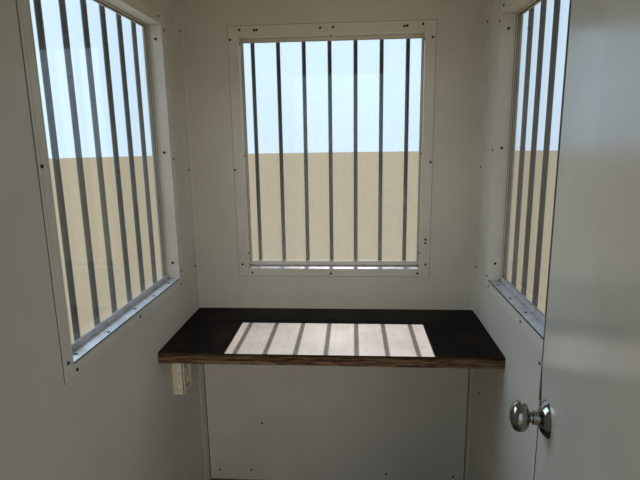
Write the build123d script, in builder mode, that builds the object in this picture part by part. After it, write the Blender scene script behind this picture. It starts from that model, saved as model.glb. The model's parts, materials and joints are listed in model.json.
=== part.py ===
from build123d import *
import os
from math import cos, radians, sin

os.makedirs("parts", exist_ok=True)

# A small portable office cabin: one room with a barred window in the front and in each side,
# a shelf desk across the front, and a door in the back wall that opens into the room.
# Millimetres. X runs across the cabin, Y from the door to the desk, Z up from the ground.
# The origin is on the ground in the middle of the cabin.

# The room, between the inner faces of its walls
room_width = 1130
room_length = 1870
room_height = 2100

# The shell
wall_thickness = 60
roof_panel_thickness = 60
deck_thickness = 20

# The steel base
base_height = 120
base_flange = 75
base_gauge = 5
joist_width = 50
joist_gap = 45
pocket_width = 190
pocket_pitch = 900
pocket_ground_gap = 10

# The roof covering
roof_overhang = 30
fascia_height = 85
fascia_gauge = 2
roof_rise = 22
roof_eave = 12
rib_height = 14
rib_foot = 52
rib_slope = 45
rib_pitch = 200
rib_count = 6

# The vertical angles on the outside corners, and those inside the two front corners
corner_leg = 55
corner_gauge = 2
strip_leg_left = 62
strip_leg_right = 45
strip_leg_front = 12
strip_gauge = 2

# Window openings, as seen from the room between the edges of their trim
front_window_width = 696
wall_over_front_window = 220
front_window_sill = 981
side_window_width = 716
wall_over_side_window = 213
side_window_sill = 995
side_window_inset = 206

# Folded trim round each window, glazing frame, pane and sill tray
trim_face = 38
trim_face_below = 30
trim_gauge = 2
mitre_gap = 0.4
frame_depth = 16
frame_lip = 5
frame_flange = 34
frame_flange_gauge = 3
pane_thickness = 5
pane_cover = 3
pane_setback = 5
glazing_clearance = 0.5
tray_gauge = 2
tray_setback = 1
front_bead_height = 20
side_bead_height = 18
tray_bead_width = 3
tray_bead_slope = 1.5
tray_end_clearance = 0.5

# Window bars, welded to a flat rail above and below the opening
bar_diameter = 16
front_bar_pitch = 100.2
front_bar_shift = 8
side_bar_pitch = 104
bar_count = 7
weld_depth = 2
rail_width = 26
rail_gauge = 5
rail_offset = 19
rail_overrun = 22
bar_overrun = 8

# The desk shelf and the battens that carry it
desk_height = 812
desk_depth = 450
desk_thickness = 38
batten_height = 28
batten_thickness = 22
batten_clearance = 1
batten_setback = 66

# The socket box on the left wall under the desk
socket_near = 339
socket_width = 86
socket_height = 146
socket_bottom = 597
socket_projection = 34
socket_face_depth = 19
socket_cup_diameter = 39
socket_cup_depth = 15
socket_cup_pitch = 71
socket_edge_radius = 4

# The door: its leaf, the gaps round it and where it stands
leaf_thickness = 40
leaf_gap = 6
leaf_floor_gap = 8
stop_gap = 5
stop_width = 15
jamb_width = 40
wall_over_door = 66
hinge_inset = 218
latch_inset = 167
open_angle = 99

# Hinges
hinge_height = 90
hinge_count = 3
hinge_end_inset = 190
knuckle_diameter = 12
knuckle_stand_off = 1
knuckle_end_gap = 0.5
pin_diameter = 6
hinge_running_gap = 0.3
hinge_plate_gauge = 2
hinge_plate_width = 30

# Knob, rosettes and latch plate
knob_height = 1047
knob_backset = 66
knob_diameter = 50
knob_thickness = 29
knob_reach = 58
knob_face_diameter = 29
knob_crown = 3
knob_crown_swell = 2
knob_button_diameter = 10
neck_diameter = 23
neck_length = 9
neck_waist = 18
rosette_diameter = 62
rosette_thickness = 13
rosette_rim = 2
rosette_swell = 9
spindle_diameter = 14
spindle_bore = 24
knob_running_gap = 0.5
latch_plate_height = 56
latch_plate_width = 25
latch_plate_gauge = 2
latch_nose_height = 18
latch_nose_width = 12
latch_nose_reach = 2

# Levels and faces that the pieces share
floor_z = base_height + deck_thickness
ceiling_z = floor_z + room_height
roof_z = ceiling_z + roof_panel_thickness
half_width = room_width / 2
half_length = room_length / 2
outer_x = half_width + wall_thickness
outer_y = half_length + wall_thickness

# The doorway, on the back wall
hinge_jamb_x = half_width - hinge_inset
latch_jamb_x = latch_inset - half_width
doorway_width = hinge_jamb_x - latch_jamb_x
leaf_width = doorway_width - 2 * leaf_gap
doorway_x = (hinge_jamb_x + latch_jamb_x) / 2
leaf_z = floor_z + leaf_floor_gap
frame_top_z = ceiling_z - wall_over_door
head_z = frame_top_z - jamb_width
leaf_height = head_z - leaf_gap - leaf_z

# The hinge line, and the open leaf's own plane: x from the hinge towards the latch, y towards
# the face that is outside when the door is shut
knuckle_radius = knuckle_diameter / 2
pin_offset = knuckle_radius + knuckle_stand_off
pin_x = hinge_jamb_x - leaf_gap / 2
pin_y = -half_length + pin_offset
leaf_bearing = radians(180 - open_angle)
leaf_plane = Plane(
    origin=(pin_x, pin_y, 0),
    x_dir=(cos(leaf_bearing), sin(leaf_bearing), 0),
    z_dir=(0, 0, 1),
)
leaf_start = leaf_gap / 2
leaf_end = leaf_start + leaf_width
leaf_inside = pin_offset
leaf_outside = pin_offset + leaf_thickness
leaf_middle = (leaf_inside + leaf_outside) / 2

# Each window's plane lies on the inner face of its wall, centred on the opening: x across the
# window, y up and z out through the wall
front_window_height = room_height - front_window_sill - wall_over_front_window
side_window_height = room_height - side_window_sill - wall_over_side_window
front_window_z = floor_z + front_window_sill + front_window_height / 2
side_window_z = floor_z + side_window_sill + side_window_height / 2
side_window_y = half_length - side_window_inset - side_window_width / 2
front_plane = Plane((0, half_length, front_window_z), x_dir=(-1, 0, 0), z_dir=(0, 1, 0))
left_plane = Plane((-half_width, side_window_y, side_window_z), x_dir=(0, -1, 0), z_dir=(-1, 0, 0))
right_plane = Plane((half_width, side_window_y, side_window_z), x_dir=(0, 1, 0), z_dir=(1, 0, 0))
windows = {
    "front": (front_plane, front_window_width, front_window_height),
    "left": (left_plane, side_window_width, side_window_height),
    "right": (right_plane, side_window_width, side_window_height),
}


def wall_slab(x_from, x_to, y_from, y_to, z_from, z_to):
    """Extrude one upright panel between two corners, in the part that is being built."""
    with BuildSketch(Plane.XY.offset(z_from)) as plan:
        with Locations(((x_from + x_to) / 2, (y_from + y_to) / 2)):
            Rectangle(x_to - x_from, y_to - y_from)
    extrude(plan.sketch, amount=z_to - z_from)


def window_hole(side):
    """Cut the hole that takes the trim and glazing frame of the window on a side."""
    plane, width, height = windows[side]
    with BuildSketch(plane) as hole:
        Rectangle(width + 2 * trim_gauge, height + 2 * trim_gauge)
    extrude(hole.sketch, amount=wall_thickness, mode=Mode.SUBTRACT)


def mitres(plane, width, height, reach, depth):
    """Part a ring into four mitred lengths, with one fine slot through each of its corners."""
    with BuildSketch(plane) as slots:
        with Locations((width / 2, height / 2), (-width / 2, -height / 2)):
            Rectangle(2 * reach, mitre_gap, rotation=45)
        with Locations((-width / 2, height / 2), (width / 2, -height / 2)):
            Rectangle(2 * reach, mitre_gap, rotation=-45)
    extrude(slots.sketch, amount=depth, mode=Mode.SUBTRACT)


# Steel base: a ring of channel that is open towards the middle, with the two fork pockets
# let through its long sides
with BuildPart() as base_frame:
    with BuildSketch():
        Rectangle(2 * outer_x, 2 * outer_y)
        Rectangle(2 * (outer_x - base_flange), 2 * (outer_y - base_flange), mode=Mode.SUBTRACT)
    extrude(amount=base_height)
    with BuildSketch(Plane.XY.offset(base_gauge)):
        Rectangle(2 * (outer_x - base_gauge), 2 * (outer_y - base_gauge))
    extrude(amount=base_height - 2 * base_gauge, mode=Mode.SUBTRACT)
    with BuildSketch(Plane.XY.offset(pocket_ground_gap)):
        with GridLocations(0, pocket_pitch, 1, 2):
            Rectangle(2 * outer_x, pocket_width)
    extrude(amount=base_height - 2 * pocket_ground_gap, mode=Mode.SUBTRACT)
base_frame.part.label = "base_frame"
export_step(base_frame.part, "parts/base_frame.step")

# Fork pockets: two rectangular tubes from side to side, for a fork lift to carry the cabin
with BuildPart() as fork_pockets:
    with BuildSketch(Plane.XY.offset(pocket_ground_gap)):
        with GridLocations(0, pocket_pitch, 1, 2):
            Rectangle(2 * outer_x, pocket_width)
    extrude(amount=base_height - 2 * pocket_ground_gap)
    with BuildSketch(Plane.XY.offset(pocket_ground_gap + base_gauge)):
        with GridLocations(0, pocket_pitch, 1, 2):
            Rectangle(2 * outer_x, pocket_width - 2 * base_gauge)
    extrude(amount=base_height - 2 * (pocket_ground_gap + base_gauge), mode=Mode.SUBTRACT)
fork_pockets.part.label = "fork_pockets"
export_step(fork_pockets.part, "parts/fork_pockets.step")

# Joists: one in the middle and one beyond each fork pocket, from web to web of the channels
joist_y = (pocket_pitch + pocket_width + joist_width) / 2 + joist_gap
with BuildPart() as floor_joists:
    with BuildSketch(Plane.XY.offset(base_gauge)):
        with Locations((0, -joist_y), (0, 0), (0, joist_y)):
            Rectangle(2 * (outer_x - base_gauge), joist_width)
    extrude(amount=base_height - 2 * base_gauge)
floor_joists.part.label = "floor_joists"
export_step(floor_joists.part, "parts/floor_joists.step")

# Floor deck, on the channel's top flange between the walls
with BuildPart() as floor_deck:
    wall_slab(-half_width, half_width, -half_length, half_length, base_height, floor_z)
floor_deck.part.label = "floor_deck"
export_step(floor_deck.part, "parts/floor_deck.step")

# Front wall, over the cabin's whole width, and the two side walls behind it
with BuildPart() as front_wall:
    wall_slab(-outer_x, outer_x, half_length, outer_y, base_height, ceiling_z)
    window_hole("front")
front_wall.part.label = "front_wall"
export_step(front_wall.part, "parts/front_wall.step")

with BuildPart() as left_wall:
    wall_slab(-outer_x, -half_width, -half_length, half_length, base_height, ceiling_z)
    window_hole("left")
left_wall.part.label = "left_wall"
export_step(left_wall.part, "parts/left_wall.step")

with BuildPart() as right_wall:
    wall_slab(half_width, outer_x, -half_length, half_length, base_height, ceiling_z)
    window_hole("right")
right_wall.part.label = "right_wall"
export_step(right_wall.part, "parts/right_wall.step")

# Back wall, parted beside and over the doorway
frame_left_x = latch_jamb_x - jamb_width
frame_right_x = hinge_jamb_x + jamb_width

with BuildPart() as back_wall_left:
    wall_slab(-outer_x, frame_left_x, -outer_y, -half_length, base_height, ceiling_z)
back_wall_left.part.label = "back_wall_left"
export_step(back_wall_left.part, "parts/back_wall_left.step")

with BuildPart() as back_wall_right:
    wall_slab(frame_right_x, outer_x, -outer_y, -half_length, base_height, ceiling_z)
back_wall_right.part.label = "back_wall_right"
export_step(back_wall_right.part, "parts/back_wall_right.step")

with BuildPart() as back_wall_over:
    wall_slab(frame_left_x, frame_right_x, -outer_y, -half_length, frame_top_z, ceiling_z)
back_wall_over.part.label = "back_wall_over"
export_step(back_wall_over.part, "parts/back_wall_over.step")

# Door frame: two jambs and a head, with a stop for the leaf along their outer edge
stop_depth = wall_thickness - leaf_thickness - stop_gap
frame_plane = Plane((doorway_x, -half_length, base_height), x_dir=(1, 0, 0), z_dir=(0, -1, 0))
frame_align = (Align.CENTER, Align.MIN)

with BuildPart() as door_frame:
    wall_slab(frame_left_x, frame_right_x, -outer_y, -half_length, base_height, frame_top_z)
    with BuildSketch(frame_plane):
        Rectangle(
            doorway_width - 2 * stop_width, head_z - stop_width - base_height, align=frame_align
        )
    extrude(amount=wall_thickness, mode=Mode.SUBTRACT)
    with BuildSketch(frame_plane):
        Rectangle(doorway_width, head_z - base_height, align=frame_align)
    extrude(amount=wall_thickness - stop_depth, mode=Mode.SUBTRACT)
door_frame.part.label = "door_frame"
export_step(door_frame.part, "parts/door_frame.step")

# Threshold: level with the floor, with an upstand in line with the frame's stop
stop_y = -outer_y + stop_depth
with BuildPart() as threshold:
    wall_slab(latch_jamb_x, hinge_jamb_x, stop_y, -half_length, base_height, floor_z)
    wall_slab(
        latch_jamb_x + stop_width,
        hinge_jamb_x - stop_width,
        -outer_y,
        stop_y,
        base_height,
        floor_z + stop_width,
    )
threshold.part.label = "threshold"
export_step(threshold.part, "parts/threshold.step")

# Roof: the panel over the walls, a folded fascia in four mitred lengths round the walls' top,
# and a ribbed sheet that falls towards the back
roof_x = outer_x + roof_overhang
roof_y = outer_y + roof_overhang
fascia_z = roof_z - fascia_height

with BuildPart() as roof_panel:
    wall_slab(-outer_x, outer_x, -outer_y, outer_y, ceiling_z, roof_z)
roof_panel.part.label = "roof_panel"
export_step(roof_panel.part, "parts/roof_panel.step")

with BuildPart() as roof_fascia:
    with BuildSketch(Plane.XY.offset(fascia_z)):
        Rectangle(2 * roof_x, 2 * roof_y)
        Rectangle(2 * outer_x, 2 * outer_y, mode=Mode.SUBTRACT)
    extrude(amount=fascia_height)
    with BuildSketch(Plane.XY.offset(fascia_z)):
        Rectangle(2 * (roof_x - fascia_gauge), 2 * (roof_y - fascia_gauge))
        Rectangle(2 * (outer_x + fascia_gauge), 2 * (outer_y + fascia_gauge), mode=Mode.SUBTRACT)
    extrude(amount=fascia_height - fascia_gauge, mode=Mode.SUBTRACT)
    mitres(Plane.XY.offset(fascia_z), 2 * outer_x, 2 * outer_y, 2 * roof_overhang, fascia_height)
roof_fascia.part.label = "roof_fascia"
export_step(roof_fascia.part, "parts/roof_fascia.step")

with BuildPart() as roof_sheet:
    with BuildSketch(Plane((-roof_x, 0, roof_z), x_dir=(0, 1, 0), z_dir=(1, 0, 0))):
        with BuildLine():
            Polyline(
                (-roof_y, 0),
                (roof_y, 0),
                (roof_y, roof_eave + roof_rise),
                (-roof_y, roof_eave),
                close=True,
            )
        make_face()
    extrude(amount=2 * roof_x)
    with BuildSketch(Plane((0, -roof_y, roof_z + roof_eave), x_dir=(1, 0, 0), z_dir=(0, -1, 0))):
        with GridLocations(rib_pitch, 0, rib_count, 1):
            Trapezoid(rib_foot, rib_height, rib_slope, align=(Align.CENTER, Align.MIN))
    slope = Vector(0, 2 * roof_y, roof_rise)
    extrude(amount=slope.length, dir=slope.normalized())
roof_sheet.part.label = "roof_sheet"
export_step(roof_sheet.part, "parts/roof_sheet.step")

# Corner angles, outside over the joints of the walls
for end, y_side in (("front", 1), ("back", -1)):
    for side, x_side in (("left", -1), ("right", 1)):
        name = f"corner_angle_{end}_{side}"
        leg_middle = (corner_leg - corner_gauge) / 2
        with BuildPart() as corner_angle:
            with BuildSketch(Plane.XY.offset(base_height)):
                with Locations((x_side * (outer_x - leg_middle), y_side * (outer_y - leg_middle))):
                    Rectangle(corner_leg + corner_gauge, corner_leg + corner_gauge)
                Rectangle(2 * outer_x, 2 * outer_y, mode=Mode.SUBTRACT)
            extrude(amount=fascia_z - base_height)
        corner_angle.part.label = name
        export_step(corner_angle.part, f"parts/{name}.step")

# Corner strips: a folded angle up each front corner of the room
with BuildPart() as corner_strips:
    for x_side, leg in ((-1, strip_leg_left), (1, strip_leg_right)):
        with BuildSketch(Plane.XY.offset(floor_z)):
            with Locations((x_side * (half_width - strip_gauge / 2), half_length - leg / 2)):
                Rectangle(strip_gauge, leg)
            with Locations(
                (x_side * (half_width - strip_leg_front / 2), half_length - strip_gauge / 2)
            ):
                Rectangle(strip_leg_front, strip_gauge)
        extrude(amount=room_height)
corner_strips.part.label = "corner_strips"
export_step(corner_strips.part, "parts/corner_strips.step")

# Windows: each has a folded trim towards the room, a glazing frame in the hole with a flange
# on the outside, a pane, a sill tray and a grille of round bars
for side, (plane, width, height) in windows.items():
    # Trim in four mitred lengths: a face on the wall and a leg through to the glazing frame
    seat = wall_thickness - frame_depth
    face_drop = (trim_face - trim_face_below) / 2
    with BuildPart() as trim:
        with BuildSketch(plane.offset(-trim_gauge)):
            with Locations((0, face_drop)):
                Rectangle(width + 2 * trim_face, height + trim_face + trim_face_below)
            Rectangle(width, height, mode=Mode.SUBTRACT)
        extrude(amount=trim_gauge)
        with BuildSketch(plane):
            Rectangle(width + 2 * trim_gauge, height + 2 * trim_gauge)
            Rectangle(width, height, mode=Mode.SUBTRACT)
        extrude(amount=seat)
        mitres(plane.offset(-trim_gauge), width, height, 2 * trim_face, seat + trim_gauge)
    trim.part.label = f"{side}_window_trim"
    export_step(trim.part, f"parts/{side}_window_trim.step")

    # Glazing frame in four mitred lengths, grooved for the pane
    light_width = width - 2 * frame_lip
    light_height = height - 2 * frame_lip
    pane_width = light_width + 2 * pane_cover
    pane_height = light_height + 2 * pane_cover
    groove = pane_thickness + 2 * glazing_clearance
    with BuildPart() as frame:
        with BuildSketch(plane.offset(seat)):
            Rectangle(width + 2 * trim_gauge, height + 2 * trim_gauge)
        extrude(amount=frame_depth)
        with BuildSketch(plane.offset(wall_thickness)):
            Rectangle(width + 2 * frame_flange, height + 2 * frame_flange)
        extrude(amount=frame_flange_gauge)
        with BuildSketch(plane.offset(seat)):
            Rectangle(light_width, light_height)
        extrude(amount=frame_depth + frame_flange_gauge, mode=Mode.SUBTRACT)
        with BuildSketch(plane.offset(seat + pane_setback - glazing_clearance)):
            Rectangle(pane_width + 2 * glazing_clearance, pane_height + 2 * glazing_clearance)
        extrude(amount=groove, mode=Mode.SUBTRACT)
        mitres(
            plane.offset(seat),
            light_width,
            light_height,
            2 * (frame_lip + frame_flange),
            frame_depth + frame_flange_gauge,
        )
    frame.part.label = f"{side}_window_frame"
    export_step(frame.part, f"parts/{side}_window_frame.step")

    with BuildPart() as pane:
        with BuildSketch(plane.offset(seat + pane_setback)):
            Rectangle(pane_width, pane_height)
        extrude(amount=pane_thickness)
    pane.part.label = f"{side}_window_pane"
    export_step(pane.part, f"parts/{side}_window_pane.step")

    # Sill tray: a flat strip on the trim's lower leg, with a sloping bead up against the frame
    tray_end = width / 2 - tray_end_clearance
    tray_origin = plane.from_local_coords((tray_end, -height / 2, 0))
    tray_plane = Plane(tray_origin, x_dir=plane.z_dir, z_dir=-plane.x_dir)
    bead_height = front_bead_height if side == "front" else side_bead_height
    bead_foot = seat - tray_bead_width - tray_bead_slope
    with BuildPart() as tray:
        with BuildSketch(tray_plane):
            with BuildLine():
                Polyline(
                    (tray_setback, 0),
                    (seat, 0),
                    (seat, bead_height),
                    (seat - tray_bead_width, bead_height),
                    (bead_foot, tray_gauge),
                    (tray_setback, tray_gauge),
                    close=True,
                )
            make_face()
        extrude(amount=2 * tray_end)
    tray.part.label = f"{side}_sill_tray"
    export_step(tray.part, f"parts/{side}_sill_tray.step")

    # Bars: round rods welded across a flat rail above and below the opening, on the front a
    # little to the left of its middle
    bar_pitch = front_bar_pitch if side == "front" else side_bar_pitch
    bar_shift = front_bar_shift if side == "front" else 0
    rail_t = wall_thickness + frame_flange_gauge
    bar_t = rail_t + rail_gauge + bar_diameter / 2 - weld_depth
    rail_length = (bar_count - 1) * bar_pitch + bar_diameter + 2 * rail_overrun
    bar_end = height / 2 + rail_offset + rail_width / 2 + bar_overrun
    bar_origin = plane.from_local_coords((bar_shift, -bar_end, bar_t))
    with BuildPart() as bars:
        with BuildSketch(plane.offset(rail_t)):
            with Locations((bar_shift, 0)), GridLocations(0, height + 2 * rail_offset, 1, 2):
                Rectangle(rail_length, rail_width)
        extrude(amount=rail_gauge)
        with BuildSketch(Plane(bar_origin, x_dir=plane.x_dir, z_dir=plane.y_dir)):
            with GridLocations(bar_pitch, 0, bar_count, 1):
                Circle(bar_diameter / 2)
        extrude(amount=2 * bar_end)
    bars.part.label = f"{side}_window_bars"
    export_step(bars.part, f"parts/{side}_window_bars.step")

# Desk: a plywood top from wall to wall, cut round the corner strips, on three battens
desk_z = floor_z + desk_height - desk_thickness
with BuildPart() as desk_top:
    wall_slab(
        -half_width, half_width, half_length - desk_depth, half_length, desk_z, desk_z + desk_thickness
    )
    add(corner_strips.part, mode=Mode.SUBTRACT)
desk_top.part.label = "desk_top"
export_step(desk_top.part, "parts/desk_top.step")

batten_z = desk_z - batten_height
batten_front = half_length - desk_depth + batten_setback
with BuildPart() as desk_battens:
    with BuildSketch(Plane.XY.offset(batten_z)):
        for x_side, leg in ((-1, strip_leg_left), (1, strip_leg_right)):
            batten_back = half_length - leg - batten_clearance
            with Locations(
                (x_side * (half_width - batten_thickness / 2), (batten_front + batten_back) / 2)
            ):
                Rectangle(batten_thickness, batten_back - batten_front)
        with Locations((0, half_length - batten_thickness / 2)):
            Rectangle(room_width - 2 * (strip_leg_front + batten_clearance), batten_thickness)
    extrude(amount=batten_height)
desk_battens.part.label = "desk_battens"
export_step(desk_battens.part, "parts/desk_battens.step")

# Socket box on the left wall, and the face in front of it with its two round cups
socket_y = half_length - socket_near + socket_width / 2
socket_z = floor_z + socket_bottom + socket_height / 2
socket_plane = Plane((-half_width, socket_y, socket_z), x_dir=(0, 1, 0), z_dir=(1, 0, 0))
box_depth = socket_projection - socket_face_depth

with BuildPart() as socket_box:
    with BuildSketch(socket_plane):
        RectangleRounded(socket_width, socket_height, socket_edge_radius)
    extrude(amount=box_depth)
socket_box.part.label = "socket_box"
export_step(socket_box.part, "parts/socket_box.step")

with BuildPart() as socket_face:
    with BuildSketch(socket_plane.offset(box_depth)):
        RectangleRounded(socket_width, socket_height, socket_edge_radius)
    extrude(amount=socket_face_depth)
    with BuildSketch(socket_plane.offset(socket_projection)):
        with GridLocations(0, socket_cup_pitch, 1, 2):
            Circle(socket_cup_diameter / 2)
    extrude(amount=-socket_cup_depth, mode=Mode.SUBTRACT)
socket_face.part.label = "socket_face"
export_step(socket_face.part, "parts/socket_face.step")

# Door leaf, with the bore for the knobs' spindle and a recess for the latch plate
knob_along = leaf_end - knob_backset
knob_z = floor_z + knob_height
knob_origin = leaf_plane.from_local_coords((knob_along, leaf_middle, knob_z))
knob_plane = Plane(knob_origin, x_dir=leaf_plane.y_dir, z_dir=leaf_plane.x_dir)
spindle_plane = Plane(knob_origin, x_dir=leaf_plane.x_dir, z_dir=leaf_plane.y_dir)
knob_axis = Axis(knob_origin, leaf_plane.y_dir)
latch_origin = leaf_plane.from_local_coords((leaf_end, leaf_middle, knob_z))
latch_plane = Plane(latch_origin, x_dir=leaf_plane.y_dir, z_dir=leaf_plane.x_dir)

with BuildPart() as door_leaf:
    with BuildSketch(leaf_plane.offset(leaf_z)):
        with Locations((leaf_start + leaf_width / 2, leaf_middle)):
            Rectangle(leaf_width, leaf_thickness)
    extrude(amount=leaf_height)
    with BuildSketch(spindle_plane):
        Circle(spindle_bore / 2)
    extrude(amount=leaf_thickness / 2, both=True, mode=Mode.SUBTRACT)
    with BuildSketch(latch_plane):
        Rectangle(latch_plate_width, latch_plate_height)
    extrude(amount=-latch_plate_gauge, mode=Mode.SUBTRACT)
door_leaf.part.label = "door_leaf"
export_step(door_leaf.part, "parts/door_leaf.step")

with BuildPart() as latch_plate:
    with BuildSketch(latch_plane):
        Rectangle(latch_plate_width, latch_plate_height)
    extrude(amount=-latch_plate_gauge)
    with BuildSketch(latch_plane):
        Rectangle(latch_nose_width, latch_nose_height)
    extrude(amount=latch_nose_reach)
latch_plate.part.label = "latch_plate"
export_step(latch_plate.part, "parts/latch_plate.step")

# Rosettes: a domed ring on each face of the leaf, round the neck of its knob
rosette_bore = neck_diameter / 2 + knob_running_gap
rosette_shoulder = rosette_bore + rosette_rim
rosette_middle = (rosette_diameter / 2 + rosette_shoulder) / 2
face_x = leaf_thickness / 2
with BuildPart() as knob_rosettes:
    with BuildSketch(knob_plane):
        with BuildLine():
            Polyline(
                (face_x + rosette_thickness, rosette_shoulder),
                (face_x + rosette_thickness, rosette_bore),
                (face_x, rosette_bore),
                (face_x, rosette_diameter / 2),
            )
            ThreePointArc(
                (face_x, rosette_diameter / 2),
                (face_x + rosette_swell, rosette_middle),
                (face_x + rosette_thickness, rosette_shoulder),
            )
        make_face()
        mirror(about=Plane.YZ)
    revolve(axis=knob_axis)
knob_rosettes.part.label = "knob_rosettes"
export_step(knob_rosettes.part, "parts/knob_rosettes.step")

# Knob pair: the knob outside, the knob inside and the spindle that joins them through the leaf
front_x = face_x + knob_reach
bulb_x = front_x - knob_thickness
bulb_mid_x = front_x - knob_thickness / 2
neck_x = face_x + knob_running_gap
collar_x = face_x + rosette_thickness + neck_length
waist_x = (collar_x + bulb_x) / 2
with BuildPart() as knob_pair:
    with BuildSketch(knob_plane):
        with BuildLine():
            Polyline(
                (0, 0),
                (0, spindle_diameter / 2),
                (neck_x, spindle_diameter / 2),
                (neck_x, neck_diameter / 2),
                (collar_x, neck_diameter / 2),
            )
            ThreePointArc(
                (collar_x, neck_diameter / 2),
                (waist_x, neck_waist / 2),
                (bulb_x, neck_diameter / 2),
            )
            ThreePointArc(
                (bulb_x, neck_diameter / 2),
                (bulb_mid_x, knob_diameter / 2),
                (front_x - knob_crown, knob_face_diameter / 2),
            )
            ThreePointArc(
                (front_x - knob_crown, knob_face_diameter / 2),
                (front_x - knob_crown + knob_crown_swell, (knob_face_diameter + knob_button_diameter) / 4),
                (front_x, knob_button_diameter / 2),
            )
            Polyline((front_x, knob_button_diameter / 2), (front_x, 0), (0, 0))
        make_face()
    revolve(axis=knob_axis)
    mirror(about=spindle_plane)
knob_pair.part.label = "knob_pair"
export_step(knob_pair.part, "parts/knob_pair.step")

# Hinges: on the jamb a plate, its pin and the two end knuckles, on the leaf a plate and the
# middle knuckle that turns on the pin
hinge_span = leaf_height - 2 * hinge_end_inset
hinge_levels = [
    leaf_z + hinge_end_inset + hinge_span * i / (hinge_count - 1) for i in range(hinge_count)
]
knuckle_height = hinge_height / 3
jamb_plane = Plane((pin_x, pin_y, 0), x_dir=(-1, 0, 0), z_dir=(0, 0, 1))
jamb_plate_x = -leaf_gap / 2 + hinge_plate_gauge / 2
leaf_plate_x = leaf_gap / 2 - hinge_plate_gauge / 2

with BuildPart() as jamb_hinges:
    for level in hinge_levels:
        with BuildSketch(jamb_plane.offset(level - hinge_height / 2)):
            with Locations((jamb_plate_x, pin_offset + hinge_plate_width / 2)):
                Rectangle(hinge_plate_gauge, hinge_plate_width)
            Circle(pin_diameter / 2)
        extrude(amount=hinge_height)
        for foot in (level - hinge_height / 2, level + knuckle_height / 2):
            with BuildSketch(jamb_plane.offset(foot)):
                Circle(knuckle_radius)
                with Locations((jamb_plate_x, pin_offset / 2)):
                    Rectangle(hinge_plate_gauge, pin_offset)
            extrude(amount=knuckle_height)
jamb_hinges.part.label = "jamb_hinges"
export_step(jamb_hinges.part, "parts/jamb_hinges.step")

with BuildPart() as leaf_hinges:
    for level in hinge_levels:
        with BuildSketch(leaf_plane.offset(level - hinge_height / 2)):
            with Locations((leaf_plate_x, pin_offset + hinge_plate_width / 2)):
                Rectangle(hinge_plate_gauge, hinge_plate_width)
        extrude(amount=hinge_height)
        with BuildSketch(leaf_plane.offset(level - knuckle_height / 2 + knuckle_end_gap)):
            Circle(knuckle_radius)
            with Locations((leaf_plate_x, pin_offset / 2)):
                Rectangle(hinge_plate_gauge, pin_offset)
            Circle(pin_diameter / 2 + hinge_running_gap, mode=Mode.SUBTRACT)
        extrude(amount=knuckle_height - 2 * knuckle_end_gap)
leaf_hinges.part.label = "leaf_hinges"
export_step(leaf_hinges.part, "parts/leaf_hinges.step")
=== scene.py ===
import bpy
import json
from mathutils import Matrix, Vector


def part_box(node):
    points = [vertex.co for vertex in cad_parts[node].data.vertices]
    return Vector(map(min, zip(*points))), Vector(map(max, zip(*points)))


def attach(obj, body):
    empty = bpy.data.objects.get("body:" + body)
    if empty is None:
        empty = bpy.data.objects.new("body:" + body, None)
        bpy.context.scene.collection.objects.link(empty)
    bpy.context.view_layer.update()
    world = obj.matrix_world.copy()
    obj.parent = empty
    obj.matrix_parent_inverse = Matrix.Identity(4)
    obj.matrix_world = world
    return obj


bl_info = {
    "name": "Portable office cabin",
    "version": (1, 0, 0),
    "blender": (4, 5, 0),
    "location": "3D View > Sidebar > Cabin",
    "description": "Finishes, fixings and seals for a small cabin with barred windows and a desk",
    "category": "Object",
}

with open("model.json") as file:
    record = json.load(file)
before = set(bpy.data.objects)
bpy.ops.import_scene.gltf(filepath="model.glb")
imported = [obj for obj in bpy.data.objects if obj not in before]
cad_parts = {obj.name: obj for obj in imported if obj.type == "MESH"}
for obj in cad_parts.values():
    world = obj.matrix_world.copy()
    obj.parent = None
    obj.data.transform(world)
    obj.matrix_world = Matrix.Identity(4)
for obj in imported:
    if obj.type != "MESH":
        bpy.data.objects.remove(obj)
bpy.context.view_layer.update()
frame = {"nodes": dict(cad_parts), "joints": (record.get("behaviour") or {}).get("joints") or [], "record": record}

import json
import math
from types import SimpleNamespace

import bmesh
import bpy
from bpy.props import FloatProperty, FloatVectorProperty, PointerProperty
from mathutils import Matrix, Vector

UP = Vector((0, 0, 1))
SIDES = ("front", "left", "right")
JOINTS = {joint["name"]: joint for joint in frame["joints"]}
# How deep heads and collars are let into the face they stand on, and how deep beads and lines
# are, in metres
LET_IN = 0.0004
LAP = 0.0001
# A margin on both sides of a width and of a height
BOTH = Vector((2, 2))

# Screws in each window's trim, from the middle of the opening as seen from the room: x to the
# right, y up. The first list is the front window's, the second serves both side windows.
FRONT_TRIM_SCREWS = (
    (-0.341, 0.473), (-0.276, 0.471), (-0.038, 0.472), (0.009, 0.473), (0.271, 0.469),
    (0.338, 0.474), (-0.378, 0.439), (-0.383, -0.046), (-0.371, -0.430), (0.374, 0.428),
    (0.379, -0.024), (0.370, -0.429), (-0.331, -0.464), (-0.008, -0.468), (0.339, -0.466),
    (-0.286, 0.470), (0.281, 0.470), (0.368, -0.327), (0.368, -0.341),
)
SIDE_TRIM_SCREWS = (
    (-0.378, -0.433), (-0.347, -0.464), (0.004, -0.463), (0.364, -0.465), (0.381, -0.420),
    (0.383, -0.004), (0.380, 0.431), (0.339, 0.468), (0.008, 0.466), (-0.344, 0.467),
    (-0.382, 0.428), (-0.384, 0.012),
)
# Screws along the side windows' sill trays, from their middle, and how far each is into the wall
TRAY_SCREWS = ((-0.306, 0.022), (-0.165, 0.010), (0.022, 0.020), (0.150, 0.013), (0.297, 0.017))
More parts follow.
